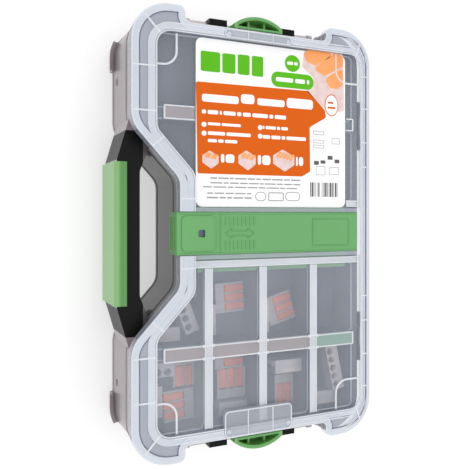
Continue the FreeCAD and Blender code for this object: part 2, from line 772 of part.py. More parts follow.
def onSide(poles, column, row, x, y, turn):
    """A connector lying on one end wall, with its levers to the side."""
    raised = FreeCAD.Vector(-size("body_height/2"), 0, size(f"({poles}*pole_pitch+end_walls)/2"))
    rolled = FreeCAD.Placement(raised, FreeCAD.Rotation(FreeCAD.Vector(0, 1, 0), 90))
    return flat(column, row, x, y, turn).multiply(rolled)


def onBack(column, row, x, y, turn):
    """A connector standing on its lever tips' end, with its wire side up."""
    raised = FreeCAD.Vector(0, -size("body_height/2"), size(bodyBack))
    tipped = FreeCAD.Placement(raised, FreeCAD.Rotation(FreeCAD.Vector(1, 0, 0), -90))
    return flat(column, row, x, y, turn).multiply(tipped)


# Sample connector of each type, then the loose stock of that type
connectorTypes = {
    "two_pole": {
        "poles": 2,
        "sample": flat(1, 2, -9.6, 9.1, -90),
        "stock": [
            onSide(2, 1, 1, -12.9, 11.5, 90),
            onSide(2, 1, 1, 17.5, -3.9, 0),
            onSide(2, 1, 2, 6.3, -9.4, 90),
            onBack(1, 2, -13.7, -6.4, 90),
            onSide(2, 2, 1, 11, -10.6, 90),
            flat(2, 2, -14.7, 3.8, 0),
            onSide(2, 2, 2, 15.9, 4.8, 0),
            flat(3, 2, 9.3, 7.5, -90),
            onSide(2, 4, 2, 17.4, 0.5, 0),
        ],
    },
    "three_pole": {
        "poles": 3,
        "sample": flat(3, 1, 7, 4.4, 16),
        "stock": [
            onBack(1, 1, 7.5, 8.6, 20),
            flat(1, 2, 10.8, 6.1, 183),
            flat(2, 1, -1.9, 4.3, 3),
            flat(2, 2, 1.3, 5.3, 90),
            onSide(3, 3, 1, 11, -11.8, 90),
            onSide(3, 3, 2, -7.6, 6, 0),
        ],
    },
    "five_pole": {
        "poles": 5,
        "sample": flat(2, 1, 0, 0, 0, side=-1),
        "stock": [onBack(4, 2, -3.1, 5.7, 12)],
    },
}


def makeConnectors(kind, plan):
    poles = plan["poles"]
    samples = {
        f"{kind}_housing": makeHousing(f"{kind}_housing", poles),
        f"{kind}_busbar": makeBar(f"{kind}_busbar", poles),
        f"{kind}_springs": makeLeaf(f"{kind}_springs", poles),
    }
    levers = [makeLever(f"{kind}_lever_{pole + 1}", poles, pole) for pole in range(poles)]
    doc.recompute()
    groups = {f"{kind}_stock_{name.split('_')[-1]}": [item] for name, item in samples.items()}
    groups[f"{kind}_stock_levers"] = levers
    made = []
    for name, items in groups.items():
        copies = []
        for place in plan["stock"]:
            for item in items:
                copies += [solid.transformed(place.toMatrix()) for solid in item.Shape.Solids]
        stock = doc.addObject("Part::Feature", name)
        stock.Shape = Part.makeCompound(copies)
        stock.Label = name
        made.append(stock)
    sampleItems = list(samples.values()) + levers
    for item in sampleItems:
        item.Placement = plan["sample"].multiply(item.Placement)
    return made + sampleItems


nodes = [
    makeBase(),
    makeGrip(),
    makeTray("tray_left", -1),
    makeTray("tray_right", 1),
    makeHingePin("hinge_pin_left", -1),
    makeHingePin("hinge_pin_right", 1),
    makeLid(),
    makeLabel(),
    makeSlider(),
    makeLatch("side_latch_left", -1),
    makeLatch("side_latch_right", 1),
    makeLatchPin("latch_pin_left", -1),
    makeLatchPin("latch_pin_right", 1),
]
for kind, plan in connectorTypes.items():
    nodes += makeConnectors(kind, plan)
doc.recompute()

for item in doc.Objects:
    if "Invalid" in item.State or "Error" in item.State:
        raise RuntimeError(f"{item.Name} did not build: {item.State}")
for item in nodes:
    if item.Shape.isNull() or not item.Shape.isValid() or not item.Shape.Solids:
        raise RuntimeError(f"{item.Label} has no valid shape")

for item in nodes:
    item.Shape.exportStep(f"parts/{item.Label}.step")
    print(item.Label, len(item.Shape.Solids), round(item.Shape.Volume, 1))
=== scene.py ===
import bpy
import bmesh
import math
import numpy as np
from mathutils import Matrix


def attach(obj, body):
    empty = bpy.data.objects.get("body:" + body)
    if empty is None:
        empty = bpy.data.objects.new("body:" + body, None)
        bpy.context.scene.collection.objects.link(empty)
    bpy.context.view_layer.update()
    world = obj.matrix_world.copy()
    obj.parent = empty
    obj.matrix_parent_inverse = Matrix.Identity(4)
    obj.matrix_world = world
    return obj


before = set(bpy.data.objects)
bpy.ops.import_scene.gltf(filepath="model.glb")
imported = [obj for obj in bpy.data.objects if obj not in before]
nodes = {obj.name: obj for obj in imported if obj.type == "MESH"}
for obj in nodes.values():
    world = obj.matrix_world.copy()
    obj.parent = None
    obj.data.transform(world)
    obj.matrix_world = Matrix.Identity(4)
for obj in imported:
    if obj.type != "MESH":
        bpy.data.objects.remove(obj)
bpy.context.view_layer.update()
print("frame loaded:", len(nodes), "nodes")

# sizes are in millimetres on the case's own axes and become metres in putPiece


# A fresh node material: returns it with its tree and its main shader.
def newMaterial(name):
    made = bpy.data.materials.new(name)
    made.use_nodes = True
    tree = made.node_tree
    return made, tree, tree.nodes["Principled BSDF"]


# One node, its settings, and its inputs given as plain values or as other nodes' outputs.
def addNode(tree, kind, inputs=None, **settings):
    node = tree.nodes.new(kind)
    for key, value in settings.items():
        setattr(node, key, value)
    for key, value in (inputs or {}).items():
        if isinstance(value, bpy.types.NodeSocket):
            tree.links.new(value, node.inputs[key])
        else:
            node.inputs[key].default_value = value
    return node


# Moulded plastic: cloudy colour drift, a fine spark-eroded grain as bump and roughness that wanders. Shared by
# every opaque and clear plastic piece.
def mouldedPlastic(name, look):
    made, tree, shader = newMaterial(name)
    place = addNode(tree, "ShaderNodeTexCoord").outputs["Object"]
    drift = addNode(tree, "ShaderNodeTexNoise", {"Vector": place, "Scale": look["drift"], "Detail": 3.0})
    grain = addNode(tree, "ShaderNodeTexNoise", {"Vector": place, "Scale": look["grain"], "Detail": 2.0})
    tone = addNode(tree, "ShaderNodeMix", {"A": (*look["dark"], 1), "B": (*look["light"], 1),
                                           "Factor": drift.outputs["Fac"]}, data_type="RGBA")
    tree.links.new(tone.outputs["Result"], shader.inputs["Base Color"])
    rough = addNode(tree, "ShaderNodeMapRange", {"Value": grain.outputs["Fac"], "From Min": 0.3, "From Max": 0.7,
                                                 "To Min": look["smooth"], "To Max": look["matt"]})
    tree.links.new(rough.outputs["Result"], shader.inputs["Roughness"])
    bump = addNode(tree, "ShaderNodeBump", {"Height": grain.outputs["Fac"], "Strength": look["bump"],
                                            "Distance": 0.0002})
    tree.links.new(bump.outputs["Normal"], shader.inputs["Normal"])
    shader.inputs["Coat Weight"].default_value = look.get("coat", 0.0)
    shader.inputs["Coat Roughness"].default_value = 0.12
    shader.inputs["IOR"].default_value = 1.5
    shader.inputs["Specular IOR Level"].default_value = look.get("shine", 0.5)
    if "alpha" in look:
        shader.inputs["Alpha"].default_value = look["alpha"]
    return made


looks = {
    "wallPlastic": {"dark": (0.175, 0.145, 0.155), "light": (0.255, 0.215, 0.230), "drift": 22, "grain": 2600,
                    "smooth": 0.26, "matt": 0.42, "bump": 0.22, "coat": 0.35},
    "trayPlastic": {"dark": (0.080, 0.108, 0.160), "light": (0.125, 0.158, 0.222), "drift": 30, "grain": 1900,
                    "smooth": 0.38, "matt": 0.56, "bump": 0.25},
    "greenBar": {"dark": (0.090, 0.30, 0.085), "light": (0.115, 0.355, 0.110), "drift": 26, "grain": 2400,
                 "smooth": 0.36, "matt": 0.5, "bump": 0.2, "coat": 0.1},
    "greenGrip": {"dark": (0.10, 0.31, 0.06), "light": (0.14, 0.38, 0.09), "drift": 26, "grain": 2400,
                  "smooth": 0.32, "matt": 0.46, "bump": 0.22, "coat": 0.2},
    "orangeLever": {"dark": (1.0, 0.15, 0.035), "light": (1.0, 0.24, 0.07), "drift": 120, "grain": 3000,
                    "smooth": 0.22, "matt": 0.34, "bump": 0.1, "coat": 0.4},
    "clearHousing": {"dark": (0.86, 0.82, 0.81), "light": (1.0, 0.97, 0.96), "drift": 90, "grain": 2500,
                     "smooth": 0.12, "matt": 0.22, "bump": 0.08, "coat": 0.5, "alpha": 0.5},
    "frostedBand": {"dark": (0.62, 0.68, 0.76), "light": (0.76, 0.80, 0.87), "drift": 40, "grain": 1800,
                    "smooth": 0.36, "matt": 0.52, "bump": 0.2, "coat": 0.15, "alpha": 0.66},
    "frostedRib": {"dark": (0.78, 0.81, 0.86), "light": (0.92, 0.94, 0.98), "drift": 60, "grain": 1800,
                   "smooth": 0.26, "matt": 0.4, "bump": 0.12, "coat": 0.3, "alpha": 0.66},
    "clearRib": {"dark": (0.66, 0.69, 0.75), "light": (0.78, 0.81, 0.86), "drift": 60, "grain": 1800,
                 "smooth": 0.2, "matt": 0.34, "bump": 0.1, "coat": 0.3, "alpha": 0.66},
    "rimPlastic": {"dark": (0.40, 0.43, 0.49), "light": (0.52, 0.55, 0.61), "drift": 40, "grain": 1800,
                   "smooth": 0.3, "matt": 0.46, "bump": 0.12, "coat": 0.2, "alpha": 0.42},
    "shadowLine": {"dark": (0.085, 0.095, 0.17), "light": (0.12, 0.13, 0.21), "drift": 50, "grain": 1800,
                   "smooth": 0.4, "matt": 0.6, "bump": 0.1},
    "rowFill": {"dark": (0.40, 0.36, 0.38), "light": (0.50, 0.46, 0.48), "drift": 30, "grain": 1800,
                "smooth": 0.3, "matt": 0.46, "bump": 0.1, "coat": 0.2, "alpha": 0.5},
    "rowGreen": {"dark": (0.30, 0.46, 0.40), "light": (0.38, 0.54, 0.47), "drift": 30, "grain": 1800,
                 "smooth": 0.3, "matt": 0.46, "bump": 0.1, "coat": 0.2, "alpha": 0.55},
    "greenInk": {"dark": (0.085, 0.42, 0.006), "light": (0.10, 0.45, 0.008), "drift": 40, "grain": 2500,
                 "smooth": 0.5, "matt": 0.6, "bump": 0.03, "coat": 0.0, "shine": 0.15},
    "orangeInk": {"dark": (0.62, 0.098, 0.0), "light": (0.66, 0.110, 0.0), "drift": 18, "grain": 2500,
                  "smooth": 0.5, "matt": 0.6, "bump": 0.03, "coat": 0.0, "shine": 0.15},
    "paleOrangeInk": {"dark": (0.80, 0.26, 0.05), "light": (0.90, 0.36, 0.11), "drift": 140, "grain": 2500,
                      "smooth": 0.22, "matt": 0.3, "bump": 0.03, "coat": 0.3},
    "whiteInk": {"dark": (0.80, 0.80, 0.81), "light": (0.87, 0.87, 0.88), "drift": 30, "grain": 2500,
                 "smooth": 0.22, "matt": 0.3, "bump": 0.03, "coat": 0.3},
    "pinkInk": {"dark": (0.55, 0.36, 0.34), "light": (0.80, 0.68, 0.66), "drift": 260, "grain": 2500,
                "smooth": 0.22, "matt": 0.3, "bump": 0.03, "coat": 0.3},
    "greyInk": {"dark": (0.20, 0.19, 0.18), "light": (0.34, 0.33, 0.32), "drift": 500, "grain": 2500,
                "smooth": 0.22, "matt": 0.3, "bump": 0.03, "coat": 0.3},
    "blackInk": {"dark": (0.03, 0.028, 0.028), "light": (0.06, 0.055, 0.055), "drift": 200, "grain": 2500,
                 "smooth": 0.22, "matt": 0.3, "bump": 0.03, "coat": 0.3},
}
paints = {name: mouldedPlastic(name, look) for name, look in looks.items()}


# Rolled or drawn metal: streaks stretched along one axis drive roughness and a faint bump.
def metalStrip(name, look):
    made, tree, shader = newMaterial(name)
    place = addNode(tree, "ShaderNodeTexCoord").outputs["Object"]
    stretch = addNode(tree, "ShaderNodeMapping", {"Vector": place, "Scale": look["streak"]})
    streaks = addNode(tree, "ShaderNodeTexNoise",
                      {"Vector": stretch.outputs["Vector"], "Scale": 1.0, "Detail": 4.0})
    tone = addNode(tree, "ShaderNodeMix", {"A": (*look["dark"], 1), "B": (*look["light"], 1),
                                           "Factor": streaks.outputs["Fac"]}, data_type="RGBA")
    tree.links.new(tone.outputs["Result"], shader.inputs["Base Color"])
    rough = addNode(tree, "ShaderNodeMapRange", {"Value": streaks.outputs["Fac"], "To Min": look["smooth"],
                                                 "To Max": look["matt"]})
    tree.links.new(rough.outputs["Result"], shader.inputs["Roughness"])
    bump = addNode(tree, "ShaderNodeBump", {"Height": streaks.outputs["Fac"], "Strength": 0.12, "Distance": 0.0001})
    tree.links.new(bump.outputs["Normal"], shader.inputs["Normal"])
    shader.inputs["Metallic"].default_value = 1.0
    return made


metalLooks = {
    "tinnedCopper": {"dark": (0.62, 0.36, 0.22), "light": (0.80, 0.54, 0.38), "streak": (300, 3000, 3000),
                     "smooth": 0.22, "matt": 0.42},
    "springStrip": {"dark": (0.50, 0.50, 0.52), "light": (0.72, 0.72, 0.74), "streak": (3000, 400, 3000),
                    "smooth": 0.18, "matt": 0.36},
    "drawnRod": {"dark": (0.30, 0.27, 0.28), "light": (0.52, 0.48, 0.49), "streak": (3000, 200, 3000),
                 "smooth": 0.22, "matt": 0.42},
}
paints.update({name: metalStrip(name, look) for name, look in metalLooks.items()})


# The lid's own plastic: the sunk panel is nearly clear, and its borders, walls and the ribs under it are whiter.
# The zones come from height.
def frostedLid(name, look):
    made, tree, shader = newMaterial(name)
    place = addNode(tree, "ShaderNodeTexCoord").outputs["Object"]
    split = addNode(tree, "ShaderNodeSeparateXYZ", {"Vector": place})
    drift = addNode(tree, "ShaderNodeTexNoise", {"Vector": place, "Scale": 9.0, "Detail": 3.0})
    grain = addNode(tree, "ShaderNodeTexNoise", {"Vector": place, "Scale": 1900.0, "Detail": 2.0})
    panel = addNode(tree, "ShaderNodeMath", {0: split.outputs["Z"], 1: look["panelHeight"], 2: look["panelSpan"]},
                    operation="COMPARE")
    low = addNode(tree, "ShaderNodeMath", {0: split.outputs["Z"], 1: look["ribHeight"]}, operation="LESS_THAN")
    haze = addNode(tree, "ShaderNodeMapRange", {"Value": drift.outputs["Fac"], "From Min": 0.3, "From Max": 0.7,
                                                "To Min": look["panelHaze"][0], "To Max": look["panelHaze"][1]})
    border = addNode(tree, "ShaderNodeMix", {"A": look["rimHaze"], "B": haze.outputs["Result"],
                                             "Factor": panel.outputs["Value"]}, data_type="FLOAT")
    opening = addNode(tree, "ShaderNodeMix", {"A": border.outputs["Result"], "B": look["ribHaze"],
                                              "Factor": low.outputs["Value"]}, data_type="FLOAT")
    tree.links.new(opening.outputs["Result"], shader.inputs["Alpha"])
    tone = addNode(tree, "ShaderNodeMix", {"A": (*look["dark"], 1), "B": (*look["light"], 1),
                                           "Factor": drift.outputs["Fac"]}, data_type="RGBA")
    tree.links.new(tone.outputs["Result"], shader.inputs["Base Color"])
    rough = addNode(tree, "ShaderNodeMapRange", {"Value": grain.outputs["Fac"], "To Min": 0.22, "To Max": 0.42})
    tree.links.new(rough.outputs["Result"], shader.inputs["Roughness"])
    bump = addNode(tree, "ShaderNodeBump", {"Height": grain.outputs["Fac"], "Strength": 0.12, "Distance": 0.0002})
    tree.links.new(bump.outputs["Normal"], shader.inputs["Normal"])
    shader.inputs["Coat Weight"].default_value = 0.25
    shader.inputs["Coat Roughness"].default_value = 0.1
    return made


# The base's plastic: the wall's satin moulding, with painted shade that turns the inner part of the handle glossy
# near-black and painted shade that darkens the recess wall behind the handle. The near-black zone is where the
# place lies between two depths and nearer the middle than a given length; the same near-black also goes on the base
# beside each side latch.
def baseWall(name, look):
    made = mouldedPlastic(name, look)
    tree = made.node_tree
    shader = tree.nodes["Principled BSDF"]
    place = addNode(tree, "ShaderNodeTexCoord").outputs["Object"]
    split = addNode(tree, "ShaderNodeSeparateXYZ", {"Vector": place})
    low, high = look["handleDepth"]
    behind = addNode(tree, "ShaderNodeMath", {0: split.outputs["Y"], 1: low}, operation="GREATER_THAN")
    before = addNode(tree, "ShaderNodeMath", {0: split.outputs["Y"], 1: high}, operation="LESS_THAN")
    reach = addNode(tree, "ShaderNodeMath", {0: split.outputs["X"]}, operation="ABSOLUTE")
    inside = addNode(tree, "ShaderNodeMath", {0: reach.outputs["Value"], 1: look["handleReach"]},
                     operation="LESS_THAN")
    zone = addNode(tree, "ShaderNodeMath", {0: behind.outputs["Value"], 1: before.outputs["Value"]},
                   operation="MULTIPLY")
    zone = addNode(tree, "ShaderNodeMath", {0: zone.outputs["Value"], 1: inside.outputs["Value"]},
                   operation="MULTIPLY")
    lugs = addNode(tree, "ShaderNodeMath", {0: reach.outputs["Value"], 1: look["lugStart"]},
                   operation="GREATER_THAN")
    nearLatch = addNode(tree, "ShaderNodeMath", {0: split.outputs["Y"], 1: 0.0, 2: 0.043}, operation="COMPARE")
    lugs = addNode(tree, "ShaderNodeMath", {0: lugs.outputs["Value"], 1: nearLatch.outputs["Value"]},
                   operation="MULTIPLY")
    zone = addNode(tree, "ShaderNodeMath", {0: zone.outputs["Value"], 1: lugs.outputs["Value"]},
                   operation="MAXIMUM")
    # painted shade: the recess wall behind the handle, between two depths, is mixed towards a dark colour
    near, far = look["recessDepth"]
    sunk = addNode(tree, "ShaderNodeMath", {0: split.outputs["Y"], 1: (near + far) / 2, 2: (far - near) / 2},
                   operation="COMPARE")
    sunk = addNode(tree, "ShaderNodeMath", {0: sunk.outputs["Value"], 1: inside.outputs["Value"]},
                   operation="MULTIPLY")
    wall = shader.inputs["Base Color"].links[0].from_socket
    shaded = addNode(tree, "ShaderNodeMix", {"A": wall, "B": (*look["recess"], 1), "Factor": sunk.outputs["Value"]},
                     data_type="RGBA")
    # painted shade: the handle's inner part turns near-black, and the base beside each side latch gets the same
    # near-black
    tone = addNode(tree, "ShaderNodeMix", {"A": shaded.outputs["Result"], "B": (*look["black"], 1),
                                           "Factor": zone.outputs["Value"]}, data_type="RGBA")
    tree.links.new(tone.outputs["Result"], shader.inputs["Base Color"])
    for socket, plain, black in (("Coat Weight", look["coat"], 0.0),
                                 ("Specular IOR Level", 0.5, look["blackShine"])):
        share = addNode(tree, "ShaderNodeMix", {"A": plain, "B": black, "Factor": zone.outputs["Value"]},
                        data_type="FLOAT")
        tree.links.new(share.outputs["Result"], shader.inputs[socket])
    return made


# the black colour is painted shade on the handle's inner part and also goes beside each side latch; the recess
# colour is painted shade on the recess wall
paints["baseWall"] = baseWall("baseWall", {**looks["wallPlastic"], "handleDepth": (-0.0808, -0.0662),
                                           "handleReach": 0.059, "black": (0.006, 0.006, 0.006),
                                           "blackShine": 0.08, "recess": (0.050, 0.044, 0.047),
                                           "recessDepth": (-0.0662, -0.044), "lugStart": 0.1199})


# The handle cover's soft green, with painted shade: it turns darker from its outer face inwards, over a few
# millimetres, across the chamfer on its inner side.
def gripCover(name, look):
    made = mouldedPlastic(name, look)
    tree = made.node_tree
    shader = tree.nodes["Principled BSDF"]
    place = addNode(tree, "ShaderNodeTexCoord").outputs["Object"]
    split = addNode(tree, "ShaderNodeSeparateXYZ", {"Vector": place})
    inwards = addNode(tree, "ShaderNodeMapRange", {"Value": split.outputs["Y"], "From Min": look["faceDepth"][0],
                                                   "From Max": look["faceDepth"][1]})
    face = shader.inputs["Base Color"].links[0].from_socket
    # painted shade: the grip's inner chamfer is mixed towards a darker green
    tone = addNode(tree, "ShaderNodeMix",
                   {"A": face, "B": (*look["inner"], 1), "Factor": inwards.outputs["Result"]},
                   data_type="RGBA")
    tree.links.new(tone.outputs["Result"], shader.inputs["Base Color"])
    return made


# the inner colour is the painted shade of the grip's inner chamfer
paints["gripCover"] = gripCover("gripCover",
                                {**looks["greenGrip"], "light": (0.20, 0.42, 0.14), "dark": (0.15, 0.36, 0.10),
                                              "faceDepth": (-0.0806, -0.0786), "inner": (0.055, 0.235, 0.028)})
paints["frostedLid"] = frostedLid("frostedLid", {
    "panelHeight": 0.0606, "panelSpan": 0.00105, "ribHeight": 0.0595, "panelHaze": (0.15, 0.23),
    "rimHaze": 0.42, "ribHaze": 0.26, "dark": (0.47, 0.52, 0.61), "light": (0.62, 0.66, 0.74)})

nodePaints = {
    "base_shell": "baseWall", "handle_grip": "gripCover", "tray_left": "trayPlastic", "tray_right": "trayPlastic",
    "hinge_pin_left": "drawnRod", "hinge_pin_right": "drawnRod", "latch_pin_left": "drawnRod",
    "latch_pin_right": "drawnRod", "lid_shell": "frostedLid", "label_sheet": "whiteInk", "lid_slider": "greenBar",
    "side_latch_left": "greenGrip", "side_latch_right": "greenGrip"}
kindPaints = {"housing": "clearHousing", "busbar": "tinnedCopper", "springs": "springStrip", "lever": "orangeLever"}
for nodeName, item in nodes.items():
    paint = nodePaints.get(nodeName) or next(kindPaints[part] for part in kindPaints if part in nodeName)
    item.data.materials.clear()
    item.data.materials.append(paints[paint])
print("materials:", len(paints))


# One object from several closed surfaces, each (points in mm, faces), joined, turned outwards and shaded smooth
# below an angle.
def putPiece(name, parts, paint, body, smooth=35):
    counts = np.cumsum([0] + [len(points) for points, _ in parts])
    places = np.concatenate([points for points, _ in parts]) * 0.001
    faces = [tuple(int(i) + int(start) for i in face) for start, (_, rows) in zip(counts, parts) for face in rows]
    mesh = bpy.data.meshes.new(name)
    mesh.from_pydata(places.tolist(), [], faces)
    shape = bmesh.new()
    shape.from_mesh(mesh)
    bmesh.ops.remove_doubles(shape, verts=shape.verts, dist=1e-7)
    bmesh.ops.recalc_face_normals(shape, faces=shape.faces)
    shape.to_mesh(mesh)
    shape.free()
    piece = bpy.data.objects.new(name, mesh)
    bpy.context.scene.collection.objects.link(piece)
    mesh.materials.append(paints[paint])
    mesh.shade_smooth()
    mesh.set_sharp_from_angle(angle=math.radians(smooth))
    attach(piece, body)
    return piece


# Quads over a grid of points, row by row, wrapped where a direction is closed.
def gridFaces(rows, columns, closedRows, closedColumns=True):
    i, j = np.meshgrid(np.arange(rows if closedRows else rows - 1),
                       np.arange(columns if closedColumns else columns - 1), indexing="ij")
    nextRow, nextColumn = (i + 1) % rows, (j + 1) % columns
    quads = np.stack([i * columns + j, i * columns + nextColumn, nextRow * columns + nextColumn,
                      nextRow * columns + j], axis=-1)
    return quads.reshape(-1, 4).tolist()


# A closed outline with arcs: each corner (x, y, radius) gets an arc that touches both its sides.
def roundedOutline(corners, steps=7):
    spots = np.array([corner[:2] for corner in corners], float)
    runs = []
    for k, (x, y, radius) in enumerate(corners):
        here = np.array([x, y], float)
        before, after = spots[k - 1] - here, spots[(k + 1) % len(spots)] - here
        before, after = before / np.linalg.norm(before), after / np.linalg.norm(after)
        half = math.acos(float(np.clip(before @ after, -1, 1))) / 2
        if radius <= 0 or half > 1.55:
            runs.append(here[None])
            continue
        reach = radius / math.tan(half)
        t = np.linspace(0, 1, steps)[:, None]
        centre = here + (before + after) / np.linalg.norm(before + after) * (radius / math.sin(half))
        first, last = here + before * reach - centre, here + after * reach - centre
        sweep = math.acos(float(np.clip(first @ last / radius ** 2, -1, 1)))
        runs.append(centre + (np.sin((1 - t) * sweep) * first + np.sin(t * sweep) * last) / math.sin(sweep))
    return np.concatenate(runs)


# Unit normals to the left of a path, stretched at bends so that an offset keeps its width.
def sideways(path, closed):
    if closed:
        before, after = path - np.roll(path, 1, 0), np.roll(path, -1, 0) - path
    else:
        steps = np.diff(path, axis=0)
        before, after = np.concatenate([steps[:1], steps]), np.concatenate([steps, steps[-1:]])
    before = before / np.maximum(np.linalg.norm(before, axis=1, keepdims=True), 1e-9)
    after = after / np.maximum(np.linalg.norm(after, axis=1, keepdims=True), 1e-9)
    middle = before + after
    middle = middle / np.maximum(np.linalg.norm(middle, axis=1, keepdims=True), 1e-9)
    stretch = 1 / np.clip((middle * after).sum(1, keepdims=True), 0.5, 1)
    return np.stack([-middle[:, 1], middle[:, 0]], axis=1) * stretch


# A closed profile of (offset to the left, height) carried along a flat path; open ends are capped.
def carry(path, profile, closed=True):
    path = np.asarray(path, float)
    profile = np.asarray(profile, float)
    left = sideways(path, closed)
    flat = path[:, None, :] + left[:, None, :] * profile[None, :, :1]
    tall = np.broadcast_to(profile[None, :, 1:], (len(path), len(profile), 1))
    points = np.concatenate([flat, tall], axis=2).reshape(-1, 3)
    faces = gridFaces(len(path), len(profile), closed)
    if not closed:
        last = (len(path) - 1) * len(profile)
        faces += [list(range(len(profile))), [last + k for k in reversed(range(len(profile)))]]
    return points, faces


# A flat plate from an outline: its wall stands straight, then leans in by soften at its top edge.
def plate(outline, low, high, soften=0.0):
    outline = np.asarray(outline, float)
    turned = outline if signedArea(outline) > 0 else outline[::-1]
    left = sideways(turned, True)
    levels = [(0, low), (0, high - soften), (soften * 0.35, high - soften * 0.3), (soften, high)]
    if soften == 0:
        levels = [(0, low), (0, high)]
    rings = [np.column_stack([turned + left * inset, np.full(len(turned), z)]) for inset, z in levels]
    faces = gridFaces(len(levels), len(turned), False)
    last = (len(levels) - 1) * len(turned)
    faces += [list(range(len(turned)))[::-1], [last + k for k in range(len(turned))]]
    return np.concatenate(rings), faces


# Half the sum of cross products of neighbours: positive where the outline runs anticlockwise.
def signedArea(outline):
    after = np.roll(outline, -1, 0)
    return float((outline[:, 0] * after[:, 1] - after[:, 0] * outline[:, 1]).sum() / 2)


# The outline of a rectangle with rounded corners.
def pad(x, y, radius, steps=6):
    reach = min(radius, abs(x[1] - x[0]) / 2.01, abs(y[1] - y[0]) / 2.01)
    return roundedOutline([(x[0], y[0], reach), (x[1], y[0], reach), (x[1], y[1], reach), (x[0], y[1], reach)],
                          steps)


# The outline of a circle, or of an ellipse where two radii are given.
def ring(middle, radius, steps=28):
    turn = np.linspace(0, 2 * math.pi, steps, endpoint=False)
    across, along = radius if isinstance(radius, tuple) else (radius, radius)
    return np.column_stack([middle[0] + across * np.cos(turn), middle[1] + along * np.sin(turn)])


# A rib's profile: straight sides and a rounded top, as a closed loop.
def bead(width, low, high):
    turn = np.linspace(0, math.pi, 7)
    crown = np.column_stack([width / 2 * np.cos(turn), high - width * 0.3 + width * 0.3 * np.sin(turn)])
    return np.concatenate([[[width / 2, low]], crown, [[-width / 2, low]]])


caseShape = {"halfLength": 130, "front": -76, "back": 78, "round": 22, "recessInner": 31, "recessOuter": 62,
             "recessEdge": -48.7, "notchWall": 121, "notchHalf": 45.5, "lidTop": 64, "panelTop": 61.5}


# The lid's plan outline, anticlockwise from the middle of the front.
def caseOutline():
    c = caseShape
    half = [(c["recessInner"], c["recessEdge"], 10), (c["recessOuter"], c["front"], 18),
            (c["halfLength"], c["front"], c["round"]), (c["halfLength"], -c["notchHalf"], 4),
            (c["notchWall"], -c["notchHalf"], 3), (c["notchWall"], c["notchHalf"], 3),
            (c["halfLength"], c["notchHalf"], 4), (c["halfLength"], c["back"], c["round"])]
    return roundedOutline(half + [(-x, y, r) for x, y, r in reversed(half)], 9)


# A flat strip between two distances inside a closed path, narrower behind a line near the hinge.
def band(path, near, far, low, high, narrow=1.0, narrowFrom=60):
    left = sideways(path, False)
    share = np.clip((path[:, 1] - narrowFrom) / 10, 0, 1) * (1 - narrow)
    inner, outer = far * (1 - share), near * (1 - share * 0.5)
    rings = [path + left * outer[:, None], path + left * inner[:, None]]
    loop = [np.column_stack([rings[k], np.full(len(path), z)]) for k,
            z in ((0, low), (0, high), (1, high), (1, low))]
    points = np.stack(loop, axis=1).reshape(-1, 3)
    last = (len(path) - 1) * 4
    return points, gridFaces(len(path), 4, False) + [[0, 1, 2, 3], [last + 3, last + 2, last + 1, last]]


# A path round the case, opened at the middle of the front where the slide bar passes over it.
def parted(path):
    side = barChannel
    return np.concatenate([[[side, path[0, 1]]], path, [[-side, path[0, 1]]]])


barChannel = 12.8
lidTrim = {"outerBand": (0.5, 3.7), "innerLine": 4.3, "backShare": 0.55, "rise": 0.25, "lineWidth": 0.5,
           "slopeBand": (1.2, 4.8)}
outline = parted(caseOutline())
top = caseShape["lidTop"]
nearEdge, farEdge = (np.full(len(outline), value) for value in lidTrim["outerBand"])
putPiece("lid_outer_band",
         [band(outline, nearEdge, farEdge, top - 0.4, top + lidTrim["rise"], lidTrim["backShare"])],
         "frostedBand", "lid")
lineNear = np.full(len(outline), lidTrim["innerLine"])
edgeLines = [carry(outline + sideways(outline, False) * 0.45, bead(0.7, top - 0.3, top + 0.4), False),
             carry(outline + sideways(outline, False) * 3.9, bead(0.45, top - 0.3, top + 0.4), False)]
putPiece("lid_edge_lines", edgeLines, "frostedRib", "lid")
putPiece("lid_shadow_line", [band(outline, lineNear, lineNear + lidTrim["lineWidth"], top - 0.4, top + 0.05,
                                  lidTrim["backShare"])], "shadowLine", "lid")

window = {"half": 114.5, "front": -61.5, "back": 70.8, "edge": -39.4, "recessInner": 34.4,
          "recessOuter": 59.5, "round": 8}


# The sunk panel's outline, anticlockwise from the middle of the front.
def windowOutline():
    w = window
    half = [(w["recessInner"], w["edge"], 10), (w["recessOuter"], w["front"], 8),
            (w["half"], w["front"], w["round"]),
            (w["half"], w["back"], w["round"])]
    return roundedOutline(half + [(-x, y, r) for x, y, r in reversed(half)], 8)


windowPath = parted(windowOutline())
slopeNear, slopeFar = (np.full(len(windowPath), -value) for value in lidTrim["slopeBand"])
putPiece("lid_window_band", [band(windowPath, slopeNear, slopeFar, top - 0.4, top + 0.2, 0.4)],
         "frostedBand", "lid")
windowLines = [carry(windowPath - sideways(windowPath, False) * 0.5, bead(0.7, top - 0.3, top + 0.4), False),
               carry(windowPath - sideways(windowPath, False) * 5.0, bead(0.4, top - 0.3, top + 0.3), False)]
putPiece("lid_window_lines", windowLines, "frostedRib", "lid")
print("lid bands done")

lidRibs = {
    "height": 0.55,
    "crossing": [94, 69],
    "pocket": {"x": (96, 114.2), "front": (-61.2, -50), "back": (70.5, 54), "round": 8},
    "column": [-31, 3.3, 37.6], "columnWidth": 4.4,
    "band": (65.6, 73.0), "bandEnds": (-57, 66.5), "knob": 2.0,
    "rail": (16.4, 19.8), "railEnds": (-43.5, 69.5),
}


